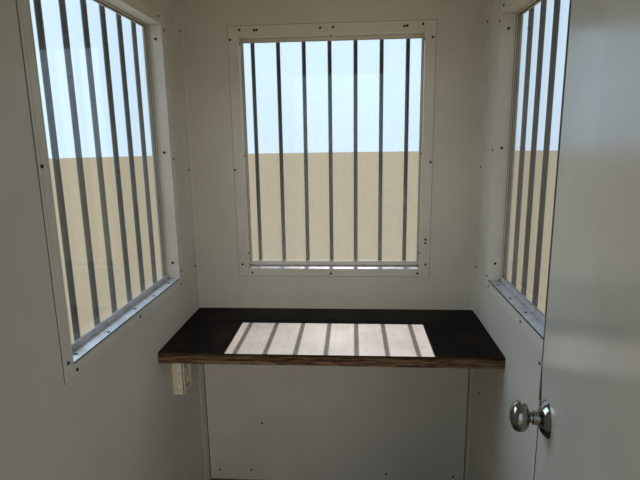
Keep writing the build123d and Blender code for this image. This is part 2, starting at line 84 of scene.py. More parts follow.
# Fixings in the walls inside, as corners of the room count them: x from the left wall, height
FRONT_WALL_FIXINGS = ((0.045, 0.045), (0.190, 0.048), (0.247, 0.282), (0.790, 0.050), (1.080, 0.046))
RIGHT_WALL_FIXINGS = ((0.166, 0.536), (0.724, 0.924))
STRIP_FIXINGS = (0.998, 1.388, 1.902)

# The camera in the doorway: its place, its turn in degrees and its focal length in millimetres
CAMERA_PLACE = (0.0898, -1.0193, 1.641)
CAMERA_TURN = (78.4788, 0.8589, 3.9386)
CAMERA_LENS = 27.97

# Sunlight: where it goes, how wide the sun's disc looks and the warm tint of low sun
SUNWARD = (0.003, -0.70, -0.71)
SUN_WIDTH = math.radians(0.53)
LOW_SUN = (1.0, 0.91, 0.84)


def linear(hex_colour):
    """Turn an sRGB hex colour into the linear red, green and blue that shaders take."""
    channels = [int(hex_colour[i:i + 2], 16) / 255 for i in (1, 3, 5)]
    return [c / 12.92 if c <= 0.04045 else ((c + 0.055) / 1.055) ** 2.4 for c in channels]


def colour(name, description, hex_colour):
    """A colour that a user can change."""
    return FloatVectorProperty(
        name=name, description=description, default=linear(hex_colour), subtype="COLOR", min=0, max=1
    )


def length(name, description, millimetres):
    """A length that a user can change."""
    return FloatProperty(
        name=name, description=description, default=millimetres / 1000, min=0, precision=4,
        unit="LENGTH",
    )


class CabinColours(bpy.types.PropertyGroup):
    """The colours of the cabin's finishes."""

    wall: colour("Wall panels", "Coil coating of the wall and roof panels", "#dedacf")
    grime: colour("Grime", "Dust and scuffs on the walls and trims", "#8a8272")
    trim: colour("Trims", "Paint on window trims, corner strips and door frame", "#e6e2d8")
    glazing: colour("Glazing frames", "Paint on the frames that hold the panes", "#e0dacb")
    glass: colour("Glass", "Tint of the clear panes", "#fcfdfd")
    dust: colour("Dust", "Dried dust and rain spots on the panes", "#c9c4b6")
    aluminium: colour("Sill trays", "Bare aluminium of the sill trays and threshold", "#dcdde2")
    bars: colour("Window bars", "Weathered black paint on bars and rails", "#101318")
    rust: colour("Rust", "Rust where paint is chipped", "#5e3520")
    desk: colour("Desk stain", "Dark stain on the desk's face", "#080808")
    desk_wear: colour("Desk wear", "Worn and dusty parts of the desk's face", "#35281e")
    desk_edge: colour("Desk edge", "Light plies in the desk's edge", "#93785e")
    desk_edge_dark: colour("Desk edge, dark", "Dark plies and glue lines in the desk's edge", "#2e2014")
    batten: colour("Battens", "Planed softwood under the desk", "#b8986c")
    floor: colour("Floor", "Grey sheet vinyl on the deck", "#5b5954")
    socket: colour("Socket box", "Aged cream plastic", "#f3e8c6")
    # the socket's cover is a paler plastic, made paler still as painted light from the right window
    cover: colour("Socket cover", "Paler plastic of the socket's cover", "#fbf3dc")
    door: colour("Door leaf", "Half-gloss coating of the door leaf", "#d4d0c8")
    chrome: colour("Chrome", "Knobs and rosettes", "#8f8c87")
    zinc: colour("Zinc plate", "Hinges, latch plate, bolts and rivets", "#a9aaab")
    screws: colour("Screws", "Dulled screws in the trims", "#1d1916")
    # Rubber: the real gaskets and door seals, and also black strips, lines, slots and holes of painted shade
    rubber: colour("Rubber", "Glazing gaskets and door seal", "#17181a")
    # Joints: the colour of painted shade, drawn as dark lines and spots in the gaps and corners round trims,
    # frames and trays, in the corner strips' folds and behind the socket's cover
    sealant: colour("Sealant", "Silicone bead round the frames outside", "#c4c0b4")
    joint: colour("Joints", "Dirt in the joints round trims and frames", "#3d362c")
    base: colour("Base", "Paint on the steel base", "#3a3e42")
    roof: colour("Roof", "Coating of the roof sheet and fascia", "#d5d3cb")
    ground: colour("Ground", "Pale floor under the cabin", "#aea48f")
    sky: colour("Sky", "Background behind the cabin", "#d0e8fc")
    sky_light: colour("Sky light", "Tint of the soft light from all round", "#eef3f8")


class CabinSizes(bpy.types.PropertyGroup):
    """The sizes of the cabin's small parts."""

    screw: length("Trim screw", "Diameter of a pan head in the window trims", 9)
    screw_height: length("Trim screw height", "Height of a pan head", 2.2)
    tray_screw: length("Tray screw", "Diameter of a screw head in the sill trays", 9)
    hinge_screw: length("Hinge screw", "Diameter of a flush head in a hinge plate", 7)
    rivet: length("Rivet", "Diameter of a blind rivet's head", 8)
    rivet_pitch: length("Rivet pitch", "Spacing of rivets along angles and fascia", 270)
    bolt: length("Bolt", "Width of a hexagon bolt head, corner to corner", 15)
    washer: length("Washer", "Diameter of the washer under a bolt", 22)
    gasket: length("Gasket", "Width of the rubber that shows round a pane", 1.4)
    sealant: length("Sealant", "Width of the bead round a frame outside", 5)
    weld: length("Weld", "Width of a weld bead", 6)
    edge_angle: length("Edge angle", "Leg of the angle down the door leaf's latch edge", 8)
    orange_peel: length("Orange peel", "Wave of the sprayed paint, drawn coarse enough to show", 4)
    tray_gauge: length("Tray gauge", "Thickness of a sill tray", 2)
    tray_bead: length("Tray bead", "Width of the bead along the back of a sill tray", 3)
    tray_slope: length("Tray slope", "Depth of the slope up to that bead", 1.5)
    tray_rise: length("Tray rise", "Rise of the front tray's floor to its bead", 3.5)
    head_bead: length("Head bead", "Height of the bead over the front pane", 7)
    trim_bead: length("Trim bead", "Distance of the pressed bead from the trim's outer edge", 9)
    # The joint and the fold below are widths of dark lines of painted shade
    joint: length("Joint", "Width of the dark joint round trims and frames", 1.3)
    fold_shade: length("Fold dirt", "Width of the dirt in a corner strip's fold under the desk", 3)
    pane_cover: length("Pane cover", "How far the frame covers a pane's edge", 3)
    bar: length("Window bar", "Diameter of a window bar", 16)
    rail: length("Rail", "Width of the flat rail across the bars", 26)
    rail_gauge: length("Rail gauge", "Thickness of a rail", 5)
    rail_overrun: length("Rail overrun", "Rail beyond the outer face of the end bar", 22)
    bar_overrun: length("Bar overrun", "Bar beyond the rail", 8)
    batten: length("Batten", "Thickness of a batten under the desk", 22)
    cup: length("Socket cup", "Diameter of a round socket cup", 39)
    cup_depth: length("Socket cup depth", "Depth of a socket cup", 15)
    cup_pitch: length("Socket pitch", "Spacing of the two socket cups", 71)
    pin_hole: length("Pin hole", "Diameter of a pin hole", 4.8)
    cylinder: length("Key cylinder", "Diameter of the key cylinder in the outer knob", 9)
    hinge: length("Hinge", "Height of a hinge", 90)
    stop: length("Door stop", "Width of the stop on the door frame", 15)
    leaf_gap: length("Leaf gap", "Gap round the closed leaf", 6)
    roof_rise: length("Roof rise", "Fall of the roof from front to back", 22)
    roof_eave: length("Roof eave", "Height of the roof sheet at the low eave", 12)
    rib_pitch: length("Rib pitch", "Spacing of the roof sheet's ribs", 200)


def add_node(tree, kind, inputs=(), output=None, **settings):
    """Add a node, set it up, feed its inputs and return one of its outputs.

    An input goes by its identifier and takes a value or another node's output. The output is
    the first one in use, or the one that is named.
    """
    node = tree.nodes.new(kind)
    for name, value in settings.items():
        setattr(node, name, value)
    sockets = {socket.identifier: socket for socket in node.inputs}
    for name, value in dict(inputs).items():
        if isinstance(value, bpy.types.NodeSocket):
            tree.links.new(value, sockets[name])
        else:
            sockets[name].default_value = value
    in_use = [socket for socket in node.outputs if socket.enabled]
    return next((socket for socket in in_use if socket.name == output), in_use[0])


def new_finish(name):
    """Start a material: its empty node tree and its place on the object, in metres."""
    material = bpy.data.materials.new(name)
    material.use_nodes = True
    tree = material.node_tree
    tree.nodes.clear()
    place = add_node(tree, "ShaderNodeTexCoord", output="Object")
    return material, tree, place


def finish_output(tree, surface):
    """Feed a shader to the material's output."""
    end = tree.nodes.new("ShaderNodeOutputMaterial")
    tree.links.new(surface, end.inputs["Surface"])


def rgba(value):
    """A colour with full opacity, as a node's socket takes it."""
    return (*value, 1)


def per_metre(millimetres):
    """How many features of a size go into a metre, as a texture's scale takes it."""
    return 1000 / millimetres


def grimy(tree, place, look, clean, patch, noise, span, most):
    """Mix grime into a clean colour, in patches of a size in millimetres.

    The noise gives its detail and roughness, the span the values at which a patch starts and is
    full, and most is the share of grime there. Returns the patches, the share and the colour.
    """
    patches = add_node(tree, "ShaderNodeTexNoise", {
        "Vector": place, "Scale": per_metre(patch), "Detail": noise[0], "Roughness": noise[1]})
    share = add_node(tree, "ShaderNodeMapRange", {
        "Value": patches, "From Min": span[0], "From Max": span[1], "To Max": most})
    coloured = add_node(tree, "ShaderNodeMix", {
        "Factor_Float": share, "A_Color": clean, "B_Color": rgba(look.grime)}, data_type="RGBA")
    return patches, share, coloured


def painted_steel(name, paint, look, gloss, dirt, wave):
    """Painted sheet steel: flat colour, slow waves in its gloss, dusty patches and faint scuffs."""
    material, tree, place = new_finish(name)
    # patches of dust about half a metre across
    patches = add_node(tree, "ShaderNodeTexNoise", {
        "Vector": place, "Scale": per_metre(450), "Detail": 4, "Roughness": 0.55})
    dust = add_node(tree, "ShaderNodeMapRange", {
        "Value": patches, "From Min": 0.42, "From Max": 0.72, "To Max": 0.35 * dirt})
    # scuffs are short level strokes, 6 mm high and some 40 mm long
    drawn_out = add_node(tree, "ShaderNodeMapping", {
        "Vector": place, "Scale": (per_metre(40), per_metre(40), per_metre(6))})
    strokes = add_node(tree, "ShaderNodeTexNoise", {
        "Vector": drawn_out, "Scale": 1, "Detail": 5, "Roughness": 0.7})
    scuffs = add_node(tree, "ShaderNodeMapRange", {
        "Value": strokes, "From Min": 0.66, "From Max": 0.80, "To Max": 0.5 * dirt})
    marked = add_node(tree, "ShaderNodeMath", {"Value": dust, "Value_001": scuffs}, operation="ADD",
                      use_clamp=True)
    coloured = add_node(tree, "ShaderNodeMix", {
        "Factor_Float": marked, "A_Color": rgba(paint), "B_Color": rgba(look.grime)},
        data_type="RGBA")
    roughness = add_node(tree, "ShaderNodeMapRange", {
        "Value": patches, "From Min": 0.3, "From Max": 0.7, "To Min": gloss, "To Max": gloss + 0.12})
    waves = add_node(tree, "ShaderNodeTexNoise", {
        "Vector": place, "Scale": per_metre(wave), "Detail": 1})
    peel = add_node(tree, "ShaderNodeTexNoise", {
        "Vector": place, "Scale": per_metre(bpy.context.scene.cabin_sizes.orange_peel * 1000),
        "Detail": 1})
    wavy = add_node(tree, "ShaderNodeBump", {
        "Height": waves, "Strength": 0.5, "Distance": 0.004})
    normal = add_node(tree, "ShaderNodeBump", {
        "Height": peel, "Strength": 0.12, "Distance": 0.0002, "Normal": wavy})
    finish_output(tree, add_node(tree, "ShaderNodeBsdfPrincipled", {
        "Base Color": coloured, "Roughness": roughness, "Normal": normal}))
    return material


def window_glass(name, look, dust):
    """Float glass: clear with a mirror sheen, under a share of dust, wiped streaks and rain spots."""
    material, tree, place = new_finish(name)
    haze = add_node(tree, "ShaderNodeTexNoise", {
        "Vector": place, "Scale": per_metre(260), "Detail": 5, "Roughness": 0.6})
    # dust gathers low on the pane and thins out towards its top
    height = add_node(tree, "ShaderNodeSeparateXYZ", {"Vector": place}, output="Z")
    low_down = add_node(tree, "ShaderNodeMapRange", {
        "Value": height, "From Min": 1.15, "From Max": 1.85, "To Min": dust, "To Max": 0.1 * dust})
    # wiped streaks run down the pane, 9 mm wide
    upright = add_node(tree, "ShaderNodeMapping", {
        "Vector": place, "Scale": (per_metre(9), per_metre(9), per_metre(500))})
    streaks = add_node(tree, "ShaderNodeTexNoise", {
        "Vector": upright, "Scale": 1, "Detail": 3, "Roughness": 0.6})
    # dried rain spots, 7 mm apart
    cells = add_node(tree, "ShaderNodeTexVoronoi", {
        "Vector": place, "Scale": per_metre(7), "Randomness": 1})
    spots = add_node(tree, "ShaderNodeMapRange", {
        "Value": cells, "From Min": 0.12, "From Max": 0.32, "To Min": 0.34, "To Max": 0.0})
    spotted = add_node(tree, "ShaderNodeMapRange", {
        "Value": haze, "From Min": 0.42, "From Max": 0.6, "To Max": 1.0})
    rain = add_node(tree, "ShaderNodeMath", {"Value": spots, "Value_001": spotted},
                    operation="MULTIPLY")
    film = add_node(tree, "ShaderNodeMapRange", {
        "Value": haze, "From Min": 0.3, "From Max": 0.75, "To Min": 0.04, "To Max": 0.15})
    soiled = add_node(tree, "ShaderNodeMath", {"Value": film, "Value_001": rain}, operation="ADD")
    wiped = add_node(tree, "ShaderNodeMapRange", {
        "Value": streaks, "From Min": 0.5, "From Max": 0.75, "To Max": 0.06})
    settled = add_node(tree, "ShaderNodeMath", {"Value": soiled, "Value_001": wiped}, operation="ADD")
    cover = add_node(tree, "ShaderNodeMath", {"Value": settled, "Value_001": low_down},
                     operation="MULTIPLY", use_clamp=True)
    # the same share is mirrored on both faces of the pane, as its light isn't bent
    grazing = add_node(tree, "ShaderNodeLayerWeight", {"Blend": 0.5}, output="Facing")
    steep = add_node(tree, "ShaderNodeMath", {"Value": grazing, "Value_001": 5.0}, operation="POWER")
    mirror = add_node(tree, "ShaderNodeMapRange", {"Value": steep, "To Min": 0.04, "To Max": 1.0})
    clear = add_node(tree, "ShaderNodeMixShader", {
        "Fac": mirror,
        "Shader": add_node(tree, "ShaderNodeBsdfTransparent", {"Color": rgba(look.glass)}),
        "Shader_001": add_node(tree, "ShaderNodeBsdfGlossy", {"Roughness": 0.03})})
    lit_dust = add_node(tree, "ShaderNodeMixShader", {
        "Fac": 0.55,
        "Shader": add_node(tree, "ShaderNodeBsdfDiffuse", {"Color": rgba(look.dust)}),
        "Shader_001": add_node(tree, "ShaderNodeBsdfTranslucent", {"Color": rgba(look.dust)})})
    finish_output(tree, add_node(tree, "ShaderNodeMixShader", {
        "Fac": cover, "Shader": clear, "Shader_001": lit_dust}))
    return material


def mill_aluminium(name, look, along):
    """Bare rolled aluminium: fine rolling lines along the piece, dull bloom and scratches."""
    material, tree, place = new_finish(name)
    # rolling lines are 1 mm apart at their finest, drawn at 2 mm to show
    spacing = [per_metre(2)] * 3
    spacing[along] = per_metre(180)
    drawn_out = add_node(tree, "ShaderNodeMapping", {"Vector": place, "Scale": spacing})
    lines = add_node(tree, "ShaderNodeTexNoise", {
        "Vector": drawn_out, "Scale": 1, "Detail": 4, "Roughness": 0.65})
    dull, coloured = grimy(
        tree, place, look, rgba(look.aluminium), 35, (6, 0.65), (0.4, 0.7), 0.55)[1:]
    roughness = add_node(tree, "ShaderNodeMapRange", {
        "Value": lines, "From Min": 0.3, "From Max": 0.7, "To Min": 0.32, "To Max": 0.55})
    # oxide and dust veil most of the metal, so it looks pale whatever stands round it
    metallic = add_node(tree, "ShaderNodeMapRange", {"Value": dull, "To Min": 0.35, "To Max": 0.1})
    normal = add_node(tree, "ShaderNodeBump", {
        "Height": lines, "Strength": 0.25, "Distance": 0.0003})
    finish_output(tree, add_node(tree, "ShaderNodeBsdfPrincipled", {
        "Base Color": coloured, "Metallic": metallic, "Roughness": roughness, "Normal": normal}))
    return material


def chipped_paint(name, paint, look, chip, rusted):
    """Brush-painted steel out of doors: dull paint with rust where it has chipped, more on edges."""
    material, tree, place = new_finish(name)
    flakes = add_node(tree, "ShaderNodeTexNoise", {
        "Vector": place, "Scale": per_metre(chip), "Detail": 6, "Roughness": 0.7})
    flat = add_node(tree, "ShaderNodeNewGeometry", output="Normal")
    rounded = add_node(tree, "ShaderNodeBevel", {"Radius": 0.002}, samples=4)
    level = add_node(tree, "ShaderNodeVectorMath", {"Vector": flat, "Vector_001": rounded},
                     output="Value", operation="DOT_PRODUCT")
    edge = add_node(tree, "ShaderNodeMapRange", {
        "Value": level, "From Min": 0.80, "From Max": 0.99, "To Min": 0.16, "To Max": 0.0})
    worn = add_node(tree, "ShaderNodeMath", {"Value": flakes, "Value_001": edge}, operation="ADD")
    rusty = add_node(tree, "ShaderNodeMapRange", {
        "Value": worn, "From Min": 0.66, "From Max": 0.72, "To Max": rusted})
    faded = add_node(tree, "ShaderNodeMix", {
        "Factor_Float": 0.03, "A_Color": rgba(paint), "B_Color": rgba(look.grime)}, data_type="RGBA")
    coloured = add_node(tree, "ShaderNodeMix", {
        "Factor_Float": rusty, "A_Color": faded, "B_Color": rgba(look.rust)}, data_type="RGBA")
    roughness = add_node(tree, "ShaderNodeMapRange", {
        "Value": rusty, "To Min": 0.48, "To Max": 0.9})
    normal = add_node(tree, "ShaderNodeBump", {
        "Height": flakes, "Strength": 0.3, "Distance": 0.0006})
    finish_output(tree, add_node(tree, "ShaderNodeBsdfPrincipled", {
        "Base Color": coloured, "Roughness": roughness, "Normal": normal}))
    return material


def stained_plywood(look):
    """Stained plywood shelf: near black, worn grain on its face, and bare plies along its edges."""
    material, tree, place = new_finish("stained_plywood")
    across = add_node(tree, "ShaderNodeSeparateXYZ", {"Vector": place}, output="X")
    depth, height = across.node.outputs["Y"], across.node.outputs["Z"]
    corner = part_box("desk_top")[1]
    # grain runs across the cabin: streaks 7 mm wide and 180 mm long
    along_grain = add_node(tree, "ShaderNodeMapping", {
        "Vector": place, "Scale": (per_metre(180), per_metre(7), per_metre(7))})
    grain = add_node(tree, "ShaderNodeTexNoise", {
        "Vector": along_grain, "Scale": 1, "Detail": 6, "Roughness": 0.7, "Distortion": 0.6})
    patches = add_node(tree, "ShaderNodeTexNoise", {
        "Vector": place, "Scale": per_metre(130), "Detail": 6, "Roughness": 0.7})
    rubbed = add_node(tree, "ShaderNodeMath", {"Value": grain, "Value_001": patches},
                      operation="MULTIPLY")
    streaks = add_node(tree, "ShaderNodeMapRange", {
        "Value": rubbed, "From Min": 0.24, "From Max": 0.38, "To Max": 1.0})
    # specks of bare wood and dust, 6 mm apart
    speckle = add_node(tree, "ShaderNodeTexNoise", {
        "Vector": place, "Scale": per_metre(6), "Detail": 3, "Roughness": 0.7})
    specks = add_node(tree, "ShaderNodeMapRange", {
        "Value": speckle, "From Min": 0.52, "From Max": 0.68, "To Max": 0.7})
    spoiled = add_node(tree, "ShaderNodeMath", {"Value": streaks, "Value_001": specks},
                       operation="ADD", use_clamp=True)
    # sleeves wipe the middle of the desk and leave the wear at its ends
    outwards = add_node(tree, "ShaderNodeMath", {"Value": across}, operation="ABSOLUTE")
    ends = add_node(tree, "ShaderNodeMapRange", {
        "Value": outwards, "From Min": 0.30, "From Max": 0.38, "To Min": 0.4, "To Max": 1.0})
    wear = add_node(tree, "ShaderNodeMath", {"Value": spoiled, "Value_001": ends},
                    operation="MULTIPLY")
    worn = add_node(tree, "ShaderNodeMix", {
        "Factor_Float": wear, "A_Color": rgba(look.desk), "B_Color": rgba(look.desk_wear)},
        data_type="RGBA")
    # painted light and dust: in a strip along the wall, strongest below the window, the face is mixed towards the
    # grime colour, for light that falls there from the window and for dust
    by_wall = add_node(tree, "ShaderNodeMapRange", {
        "Value": depth, "From Min": corner.y - 0.15, "From Max": corner.y - 0.11, "To Max": 0.30})
    by_window = add_node(tree, "ShaderNodeMapRange", {
        "Value": outwards, "From Min": 0.32, "From Max": 0.50, "To Min": 1.0, "To Max": 0.15})
    window_light_and_dust = add_node(tree, "ShaderNodeMath", {"Value": by_wall, "Value_001": by_window},
                      operation="MULTIPLY")
    dust = add_node(tree, "ShaderNodeMath", {"Value": window_light_and_dust, "Value_001": rubbed},
                    operation="MULTIPLY")
    face = add_node(tree, "ShaderNodeMix", {
        "Factor_Float": dust, "A_Color": worn, "B_Color": rgba(look.grime)}, data_type="RGBA")
    # plies: bands about 6 mm high, each drawn over two real plies so that they show
    along_plies = add_node(tree, "ShaderNodeMapping", {
        "Vector": place, "Scale": (per_metre(90), per_metre(90), per_metre(6))})
    plies = add_node(tree, "ShaderNodeTexNoise", {
        "Vector": along_plies, "Scale": 1, "Detail": 7, "Roughness": 0.75})
    bands = add_node(tree, "ShaderNodeMapRange", {
        "Value": plies, "From Min": 0.40, "From Max": 0.62, "To Max": 1.0})
    edge = add_node(tree, "ShaderNodeMix", {
        "Factor_Float": bands, "A_Color": rgba(look.desk_edge_dark), "B_Color": rgba(look.desk_edge)},
        data_type="RGBA")
    # the stain ran some 6 to 13 mm down the edge from the face
    stain = add_node(tree, "ShaderNodeMapRange", {
        "Value": height, "From Min": corner.z - 0.013, "From Max": corner.z - 0.006,
        "To Max": 0.75})
    stained_edge = add_node(tree, "ShaderNodeMix", {
        "Factor_Float": stain, "A_Color": edge, "B_Color": rgba(look.desk_edge_dark)},
        data_type="RGBA")
    on_top = add_node(tree, "ShaderNodeMapRange", {
        "Value": height, "From Min": corner.z - 0.0006, "From Max": corner.z - 0.0002})
    coloured = add_node(tree, "ShaderNodeMix", {
        "Factor_Float": on_top, "A_Color": stained_edge, "B_Color": face}, data_type="RGBA")
    roughness = add_node(tree, "ShaderNodeMapRange", {
        "Value": speckle, "From Min": 0.3, "From Max": 0.7, "To Min": 0.46, "To Max": 0.54})
    normal = add_node(tree, "ShaderNodeBump", {
        "Height": grain, "Strength": 0.2, "Distance": 0.0003})
    finish_output(tree, add_node(tree, "ShaderNodeBsdfPrincipled", {
        "Base Color": coloured, "Roughness": roughness, "Normal": normal,
        "Specular IOR Level": 0.05}))
    return material


def planed_softwood(look):
    """Planed pine batten: pale, with soft brown grain along it."""
    material, tree, place = new_finish("planed_softwood")
    along_grain = add_node(tree, "ShaderNodeMapping", {
        "Vector": place, "Scale": (per_metre(60), per_metre(60), per_metre(4))})
    grain = add_node(tree, "ShaderNodeTexNoise", {
        "Vector": along_grain, "Scale": 1, "Detail": 5, "Distortion": 0.6})
    coloured = add_node(tree, "ShaderNodeMix", {
        "Factor_Float": grain, "A_Color": rgba(look.batten), "B_Color": rgba(look.desk_edge)},
        data_type="RGBA")
    normal = add_node(tree, "ShaderNodeBump", {
        "Height": grain, "Strength": 0.3, "Distance": 0.0004})
    finish_output(tree, add_node(tree, "ShaderNodeBsdfPrincipled", {
        "Base Color": coloured, "Roughness": 0.7, "Normal": normal}))
    return material


def sheet_vinyl(look):
    """Sheet vinyl floor: grey with fine dark flecks, trodden dull in patches."""
    material, tree, place = new_finish("flecked_sheet_vinyl")
    flecks = add_node(tree, "ShaderNodeTexVoronoi", {"Vector": place, "Scale": per_metre(5)})
    dark = add_node(tree, "ShaderNodeMapRange", {
        "Value": flecks, "From Min": 0.12, "From Max": 0.3, "To Min": 0.55, "To Max": 0.0})
    flecked = add_node(tree, "ShaderNodeMix", {
        "Factor_Float": dark, "A_Color": rgba(look.floor), "B_Color": rgba(look.bars)},
        data_type="RGBA")
    trodden, _, coloured = grimy(tree, place, look, flecked, 350, (5, 0.6), (0.4, 0.7), 0.5)
    roughness = add_node(tree, "ShaderNodeMapRange", {
        "Value": trodden, "From Min": 0.3, "From Max": 0.7, "To Min": 0.4, "To Max": 0.7})
    finish_output(tree, add_node(tree, "ShaderNodeBsdfPrincipled", {
        "Base Color": coloured, "Roughness": roughness}))
    return material


def moulded_plastic(look, name, tint):
    """Moulded plastic with age: an even pale colour, a soft gloss and faint grey smears."""
    material, tree, place = new_finish(name)
    smears, _, coloured = grimy(
        tree, place, look, rgba(tint), 30, (5, 0.65), (0.5, 0.8), 0.6)
    roughness = add_node(tree, "ShaderNodeMapRange", {
        "Value": smears, "From Min": 0.3, "From Max": 0.7, "To Min": 0.32, "To Max": 0.5})
    finish_output(tree, add_node(tree, "ShaderNodeBsdfPrincipled", {
        "Base Color": coloured, "Roughness": roughness}))
    return material


def door_coating(look):
    """Half-gloss coated steel door: soft reflections, drawn out upright by the rolled sheet."""
    material, tree, place = new_finish("half_gloss_coated_door")
    upright = add_node(tree, "ShaderNodeMapping", {
        "Vector": place, "Scale": (per_metre(45), per_metre(45), per_metre(700))})
    rolled = add_node(tree, "ShaderNodeTexNoise", {
        "Vector": upright, "Scale": 1, "Detail": 1, "Roughness": 0.5})
    coloured = grimy(
        tree, place, look, rgba(look.door), 300, (5, 0.6), (0.45, 0.75), 0.22)[2]
    roughness = add_node(tree, "ShaderNodeMapRange", {
        "Value": rolled, "From Min": 0.3, "From Max": 0.7, "To Min": 0.18, "To Max": 0.22})
    finish_output(tree, add_node(tree, "ShaderNodeBsdfPrincipled", {
        "Base Color": coloured, "Roughness": roughness, "Specular IOR Level": 0.75}))
    return material


def polished_chrome(look):
    """Chromium plate on brass: a dark-and-bright mirror, dulled here and there by fingers."""
    material, tree, place = new_finish("polished_chrome_plate")
    smears = add_node(tree, "ShaderNodeTexNoise", {
        "Vector": place, "Scale": per_metre(6), "Detail": 8, "Roughness": 0.7})
    roughness = add_node(tree, "ShaderNodeMapRange", {
        "Value": smears, "From Min": 0.45, "From Max": 0.75, "To Min": 0.06, "To Max": 0.2})
    finish_output(tree, add_node(tree, "ShaderNodeBsdfPrincipled", {
        "Base Color": rgba(look.chrome), "Metallic": 1.0, "Roughness": roughness}))
    return material


def plated_steel(name, tint, look, gloss):
    """Zinc-plated steel: grey metal gone matt and blotchy."""
    material, tree, place = new_finish(name)
    blotches, _, coloured = grimy(
        tree, place, look, rgba(tint), 8, (4, 0.6), (0.4, 0.75), 0.5)
    roughness = add_node(tree, "ShaderNodeMapRange", {
        "Value": blotches, "From Min": 0.3, "From Max": 0.7, "To Min": gloss, "To Max": gloss + 0.2})
    finish_output(tree, add_node(tree, "ShaderNodeBsdfPrincipled", {
        "Base Color": coloured, "Metallic": 0.85, "Roughness": roughness}))
    return material


def soft_seal(name, tint, look, gloss):
    """Extruded rubber or tooled silicone: even and dull, with dust lying on it; also dark fills of painted shade.
    """
    material, tree, place = new_finish(name)
    coloured = grimy(tree, place, look, rgba(tint), 22, (4, 0.6), (0.45, 0.8), 0.3)[2]
    finish_output(tree, add_node(tree, "ShaderNodeBsdfPrincipled", {
        "Base Color": coloured, "Roughness": gloss}))
    return material


def wearing(slot):
    """The CAD nodes that take their finish from a material slot of the record."""
    nodes = [entry["node"] for entry in frame["record"]["subparts"] if entry["material_slot"] == slot]
    if not nodes:
        raise RuntimeError(f"no node takes its finish from {slot}")
    return nodes


def dress(nodes, material):
    """Give CAD nodes a material."""
    for name in nodes:
        for place in frame["nodes"][name].material_slots:
            place.material = material


def finish_of(node):
    """The material that a CAD node wears."""
    return frame["nodes"][node].material_slots[0].material


def add_piece(bm, name, material, body="cabin"):
    """Make a mesh one named piece, with outward faces, that rides on a body of the cabin."""
    bmesh.ops.remove_doubles(bm, verts=bm.verts, dist=1e-6)
    bmesh.ops.recalc_face_normals(bm, faces=bm.faces)
    mesh = bpy.data.meshes.new(name)
    bm.to_mesh(mesh)
    bm.free()
    mesh.shade_smooth()
    mesh.set_sharp_from_angle(angle=math.radians(32))
    mesh.materials.append(material)
    shape = bpy.data.objects.new(name, mesh)
    bpy.context.scene.collection.objects.link(shape)
    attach(shape, body)
    return shape


def repeated(pattern, places):
    """Repeat a small mesh at each place, in one mesh, and free the pattern."""
    sample = bpy.data.meshes.new("pattern")
    pattern.to_mesh(sample)
    pattern.free()
    bm = bmesh.new()
    for place in places:
        known = len(bm.verts)
        bm.from_mesh(sample)
        bm.verts.ensure_lookup_table()
        bmesh.ops.transform(bm, matrix=place, verts=bm.verts[known:])
    bpy.data.meshes.remove(sample)
    return bm


def add_fixings(pattern, places, name, material, body="cabin"):
    """Put one screw, rivet, bolt or clip at each place."""
    add_piece(repeated(pattern, places), name, material, body=body)


def open_edges(bm):
    """The edges round a mesh's holes."""
    return [edge for edge in bm.edges if edge.is_boundary]


def verts_among(geometry):
    """The vertices among the geometry that an operator returns."""
    return [item for item in geometry if isinstance(item, bmesh.types.BMVert)]


def round_off(bm, edges, radius, segments=2):
    """Round edges off to a radius."""
    bmesh.ops.bevel(bm, geom=edges, offset=radius, offset_type="OFFSET", segments=segments,
                    profile=0.5, affect="EDGES", material=-1)


def turned(profile, steps):
    """Spin a half profile of (radius, height) points round the Z axis."""
    bm = bmesh.new()
    line = [bm.verts.new((radius, 0, height)) for radius, height in profile]
    edges = [bm.edges.new(pair) for pair in zip(line, line[1:])]
    bmesh.ops.spin(
        bm, geom=line + edges, cent=(0, 0, 0), axis=UP, angle=math.tau, steps=steps, use_merge=True
    )
    return bm


def pan_head(diameter, height):
    """A screw's pan head with its cross recess, standing on Z = 0."""
    radius = diameter / 2
    profile = (
        (radius * 0.6, -LET_IN), (radius, -LET_IN), (radius, height * 0.4),
        (radius * 0.86, height * 0.8), (radius * 0.62, height),
    )
    bm = turned(profile, 20)
    foot = [edge for edge in open_edges(bm) if all(vert.co.z < 0 for vert in edge.verts)]
    bmesh.ops.holes_fill(bm, edges=foot)
    crown = open_edges(bm)
    cross = bmesh.ops.create_grid(bm, x_segments=3, y_segments=3, size=radius * 0.45)["verts"]
    for vert in cross:
        for axis in (0, 1):
            if abs(vert.co[axis]) < radius * 0.3:
                vert.co[axis] *= 0.6
        vert.co.z = height
    cells = {face for vert in cross for face in vert.link_faces}
    corners = [f for f in cells if all(abs(c) > radius * 0.2 for c in f.calc_center_median()[:2])]
    bmesh.ops.delete(bm, geom=corners, context="FACES")
    plus = [face for face in cells if face.is_valid]
    sunk = bmesh.ops.extrude_face_region(bm, geom=plus)["geom"]
    bmesh.ops.translate(bm, vec=(0, 0, -height * 0.6), verts=verts_among(sunk))
    bmesh.ops.delete(bm, geom=plus, context="FACES_KEEP_BOUNDARY")
    rim = [edge for edge in open_edges(bm) if edge not in crown]
    bmesh.ops.bridge_loops(bm, edges=crown + rim)
    return bm


def blind_rivet(diameter):
    """A blind rivet's domed head with the dimple that its mandrel leaves."""
    radius = diameter / 2
    bm = turned((
        (radius * 0.5, -LET_IN), (radius, -LET_IN), (radius, radius * 0.12),
        (radius * 0.8, radius * 0.34), (radius * 0.45, radius * 0.48),
        (radius * 0.3, radius * 0.48), (radius * 0.24, radius * 0.2),
    ), 16)
    bmesh.ops.holes_fill(bm, edges=open_edges(bm))
    return bm


